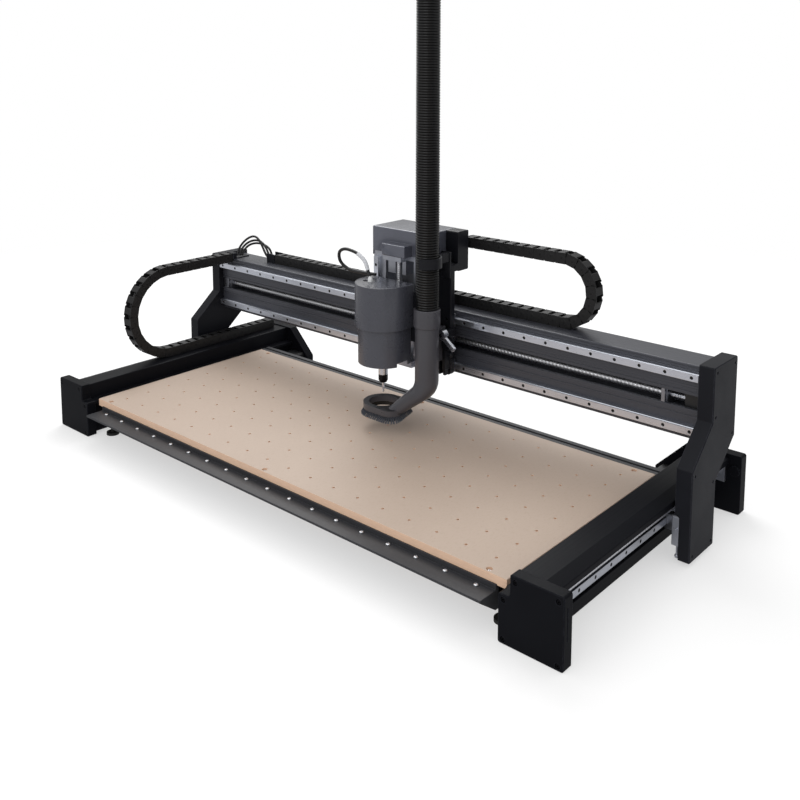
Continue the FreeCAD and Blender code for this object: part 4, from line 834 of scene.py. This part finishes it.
def brush_outline(count):
    """(point, outward) pairs evenly spaced round the shoe's rounded D, placed from the CAD ring's box."""
    low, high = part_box("brush_ring")
    centre_y = (low.y + high.y) / 2
    r = (high.y - low.y) / 2 - BRUSH_GROW
    centre_x = low.x + BRUSH_GROW + r
    line = []
    for k in range(25):
        angle = math.radians(90 + 180 * k / 24)
        line.append(Vector((centre_x + r * math.cos(angle), centre_y + r * math.sin(angle), 0)))
    start = line[-1]
    front = Vector((centre_x + BRUSH_CORNER_X[0], centre_y - r, 0))
    back = Vector((centre_x + BRUSH_CORNER_X[1], centre_y + r, 0))
    corners = ((start, front, back, BRUSH_ROUNDING[0]), (front, back, line[0], BRUSH_ROUNDING[1]))
    for before, corner, after, radius in corners:
        toward, away = (corner - before).normalized(), (after - corner).normalized()
        reach = radius * math.tan(toward.angle(away) / 2)
        enter, leave = corner - toward * reach, corner + away * reach
        for k in range(9):
            t = k / 8
            line.append(enter * (1 - t) ** 2 + corner * (2 * t * (1 - t)) + leave * t ** 2)
    line.append(line[0])
    spans = [(b - a).length for a, b in zip(line, line[1:])]
    total = sum(spans)
    places = []
    for k in range(count):
        distance = total * (k + 0.5) / count
        for (a, b), length in zip(zip(line, line[1:]), spans):
            if distance < length:
                ahead = (b - a).normalized()
                places.append((a + ahead * distance, Vector((ahead.y, -ahead.x, 0))))
                break
            distance -= length
    return places, low.z, high.z


def bristle(build, root, tip, width, bow):
    """One tapering filament with a slight bend."""
    middle = (root + tip) / 2 + bow
    path = [root, middle, tip]
    tube(build, path, lambda step, angle: width * (1.0, 0.85, 0.5)[step], 4)


def brush_painted_shade(places, low, high):
    """A dark strip inside the row of bristles, nearly their full height: painted shade for the inside of the brush.
    """
    shade_strip = Build()
    ring = [tuple(point - outward * depth for depth in SHADE_STRIP_DEPTH) for point, outward in places]
    levels = (high - 0.2 * MM, low + 2.5 * MM)
    points = [Vector((edge.x, edge.y, z)) for z in levels for pair in ring for edge in pair]
    below = 2 * len(ring)
    faces = []
    for k in range(len(ring)):
        a, b = 2 * k, 2 * ((k + 1) % len(ring))
        faces.append((a, b, b + below, a + below))
        faces.append((b + 1, a + 1, a + 1 + below, b + 1 + below))
        faces.append((b, a, a + 1, b + 1))
        faces.append((a + below, b + below, b + 1 + below, a + 1 + below))
    shade_strip.add(points, faces)
    strip = shade_strip.done("brush_painted_shade", "hose", 40)
    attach(strip, "dust_shoe")


def brush():
    """Tufts of bristles set in a row round the shoe, flaring outwards."""
    random.seed(7)
    build = Build()
    places, low, high = brush_outline(TUFTS)
    for point, outward in places:
        along = Vector((-outward.y, outward.x, 0))
        lean = random.uniform(-0.6, 0.6)
        reach = random.uniform(-0.5, 0.5)
        for _ in range(BRISTLES_PER_TUFT):
            spread = random.uniform(-1.0, 1.0)
            depth = random.uniform(-6.5, -1.0)
            root = point + along * (spread * 1.5 * MM) + outward * (depth * MM)
            root.z = high
            flare = random.uniform(3.8, 7.0) + depth * 0.35 + reach
            tip = point + along * ((spread * 2.3 + lean) * MM) + outward * (flare * MM)
            tip.z = low + random.uniform(0.0, 1.0) * MM
            bow = outward * (-1.3 * MM) + along * (random.uniform(-0.3, 0.3) * MM)
            bristle(build, root, tip, random.uniform(0.32, 0.46) * MM, bow)
    FINISHES["bristle"] = bristled("bristle_nylon", (0.016, 0.018, 0.024), (0.060, 0.068, 0.088), low, high)
    brush_painted_shade(places, low, high)
    piece = build.done("brush_bristles", "bristle", 80)
    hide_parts("brush_ring")
    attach(piece, "dust_shoe")


brush()


# ---------------------------------------------------------------- spindle cable

FINISHES["sleeve"] = braided("cable_sleeve", (0.66, 0.67, 0.70), (0.40, 0.41, 0.44))


CABLE_ENTRY = 71.0 * MM
CABLE_RADIUS = 4.2 * MM
SLEEVE_SPAN = (10, 26)
CABLE_BENDS = ((0, 0, 10), (-6, 0, 22), (-18, 0, 48), (-40, 0, 63), (-62, 0, 69), (-88, 1, 70), (-107, 2, 62),
               (-114, 5, 46), (-109, 10, 28), (-90, 20, 13), (-58, 34, 7.5), (-20, 42, 7.5))
GLAND_PROFILE = ((0.0, 7.4), (3.0, 7.4), (3.4, 6.2), (10.0, 6.2), (12.0, 5.6), (15.0, 4.4), (18.0, 4.0))


def spindle_cable():
    """The spindle's cable: a white fitting on the housing, a black lead, a pale sleeve, and the loop back."""
    low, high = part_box("spindle_housing")
    x, y, top = low.x + CABLE_ENTRY, low.y + CABLE_ENTRY, high.z
    path = smooth_path([(x + (a - 25) * MM, y + (b - 20) * MM, top + c * MM) for a, b, c in CABLE_BENDS], 8)
    lead = Build()
    tube(lead, path, CABLE_RADIUS, 14)
    cable = lead.done("spindle_cable_lead", "cable", 60)
    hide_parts("spindle_cable")
    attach(cable, "z_slide")
    cover = Build()
    tube(cover, path[slice(*SLEEVE_SPAN)], lambda step, angle: (5.0 + 0.25 * math.cos(step * 2.1)) * MM, 14)
    sleeve = cover.done("spindle_cable_sleeve", "sleeve", 60)
    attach(sleeve, "z_slide")
    gland = Build()
    foot = path[0] - Vector((0, 0, 14 * MM))
    spine = [foot + Vector((0, 0, h * MM)) for h, _ in GLAND_PROFILE]
    tube(gland, spine, lambda step, angle: (GLAND_PROFILE[step][1] + 0.25 * math.cos(angle * 9)) * MM, 36)
    fitting = gland.done("spindle_cable_fitting", "white", 40)
    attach(fitting, "z_slide")


spindle_cable()


# ---------------------------------------------------------------- studio

WORLD_STRENGTH = 0.95
GLOSS_HORIZON, GLOSS_RISE, GLOSS_SIDE = 0.18, 0.75, -0.5
FLOOR_IN_REFLECTIONS = (0.40, 0.40, 0.42)
FLOOR_GLOW = 0.52
LAMPS = (
    ("key_lamp", (-1.6, 1.6, 2.6), (0, 0, 0), (2.4, 2.4), 62.0),
    ("front_lamp", (0.8, -2.8, 1.9), (0, 0, 0.1), (2.2, 1.6), 20.0),
)
FLOOR_SIZE, FLOOR_SIDES = 60.0, 60
FLOOR_DROP = 0.4 * MM
FLOOR_FADE = (1.5, 3.2)
FLOOR_GLOW_REFLECTED = 0.45
PAPER = ((0.925, 0.925, 0.925), (0.94, 0.94, 0.94))


def surround(tree):
    """A white surround. In reflections it is brightest overhead and to the left, and dim to the right."""
    def math_node(operation, first, second):
        made = tree.nodes.new("ShaderNodeMath")
        made.operation = operation
        for socket, value in zip(made.inputs, (first, second)):
            if isinstance(value, bpy.types.NodeSocket):
                tree.links.new(value, socket)
            else:
                socket.default_value = value
        return made.outputs[0]

    split = tree.nodes.new("ShaderNodeSeparateXYZ")
    tree.links.new(tree.nodes.new("ShaderNodeTexCoord").outputs["Generated"], split.inputs[0])
    rays = tree.nodes.new("ShaderNodeLightPath")
    overhead = math_node("ADD", math_node("MULTIPLY", split.outputs["Z"], GLOSS_RISE), GLOSS_HORIZON)
    sideways = math_node("ADD", math_node("MULTIPLY", split.outputs["X"], GLOSS_SIDE), 1.0)
    mirrored = math_node("MULTIPLY", overhead, sideways)
    glossy = rays.outputs["Is Glossy Ray"]
    lit = math_node("ADD", math_node("MULTIPLY", glossy, mirrored),
                    math_node("MULTIPLY", math_node("SUBTRACT", 1.0, glossy), WORLD_STRENGTH))
    seen = rays.outputs["Is Camera Ray"]
    total = math_node("ADD", math_node("MULTIPLY", math_node("SUBTRACT", 1.0, seen), lit), seen)
    background = tree.nodes["Background"]
    background.inputs["Color"].default_value = (1.0, 1.0, 1.0, 1.0)
    tree.links.new(total, background.inputs["Strength"])


def studio():
    """A pale floor that glows a little, so shadows stay light, and fades to white; a white surround; soft lamps."""
    scene = bpy.context.scene
    floor_z = cad_bounds[0][2] - FLOOR_DROP
    mesh = bpy.data.meshes.new("studio_floor")
    angles = [2 * math.pi * k / FLOOR_SIDES for k in range(FLOOR_SIDES)]
    ring = [(FLOOR_SIZE * math.cos(angle), FLOOR_SIZE * math.sin(angle), floor_z) for angle in angles]
    mesh.from_pydata(ring, [], [tuple(range(FLOOR_SIDES))])
    floor = bpy.data.objects.new("studio_floor", mesh)
    scene.collection.objects.link(floor)
    f = Finish("studio_paper")
    tone = f.ranged(f.noise(0.8, 2.0), 0.3, 0.7, 0.0, 1.0)
    paper = f.blend(tone, *PAPER)
    reflected = f.node("ShaderNodeLightPath").outputs["Is Glossy Ray"]
    flagged = f.blend(reflected, paper, FLOOR_IN_REFLECTIONS)
    distance = f.node("ShaderNodeVectorMath", operation="LENGTH")
    f.feed(distance.inputs[0], f.place)
    far = f.ranged(distance.outputs["Value"], *FLOOR_FADE, FLOOR_GLOW, 1.0)
    glow = f.times(far, f.ranged(reflected, 0.0, 1.0, 1.0, FLOOR_GLOW_REFLECTED))
    f.put(Base_Color=f.blend(far, flagged, (0.0, 0.0, 0.0)), Roughness=0.7, Specular_IOR_Level=0.0,
          Emission_Color=(1.0, 1.0, 1.0, 1.0), Emission_Strength=glow)
    mesh.materials.append(f.material)

    world = bpy.data.worlds.new("studio_world")
    scene.world = world
    world.use_nodes = True
    surround(world.node_tree)

    for name, place, target, size_m, power in LAMPS:
        lamp = bpy.data.lights.new(name, "AREA")
        lamp.energy = power
        lamp.shape = "RECTANGLE"
        lamp.size, lamp.size_y = size_m
        holder = bpy.data.objects.new(name, lamp)
        holder.location = place
        holder.rotation_euler = (Vector(target) - Vector(place)).to_track_quat("-Z", "Y").to_euler()
        scene.collection.objects.link(holder)


studio()

bpy.context.scene.view_settings.view_transform = "Standard"


# ---------------------------------------------------------------- camera

CAMERA_PLACE = (1.609152, -1.632633, 0.955162)
CAMERA_TURN = (82.6093, -0.0629, 41.4997)
CAMERA_LENS = 43.333
CAMERA_RISE = -0.2871
CAMERA_SENSOR = 36.0


def camera():
    """The product view, with the lens shifted upright so that vertical edges stay nearly parallel."""
    scene = bpy.context.scene
    lens = bpy.data.cameras.new("product_camera")
    holder = bpy.data.objects.new("product_camera", lens)
    scene.collection.objects.link(holder)
    holder.location = CAMERA_PLACE
    holder.rotation_euler = [math.radians(a) for a in CAMERA_TURN]
    lens.lens = CAMERA_LENS
    lens.sensor_width = CAMERA_SENSOR
    lens.clip_start, lens.clip_end = 0.05, 60.0
    lens.shift_y = CAMERA_RISE
    scene.camera = holder


camera()
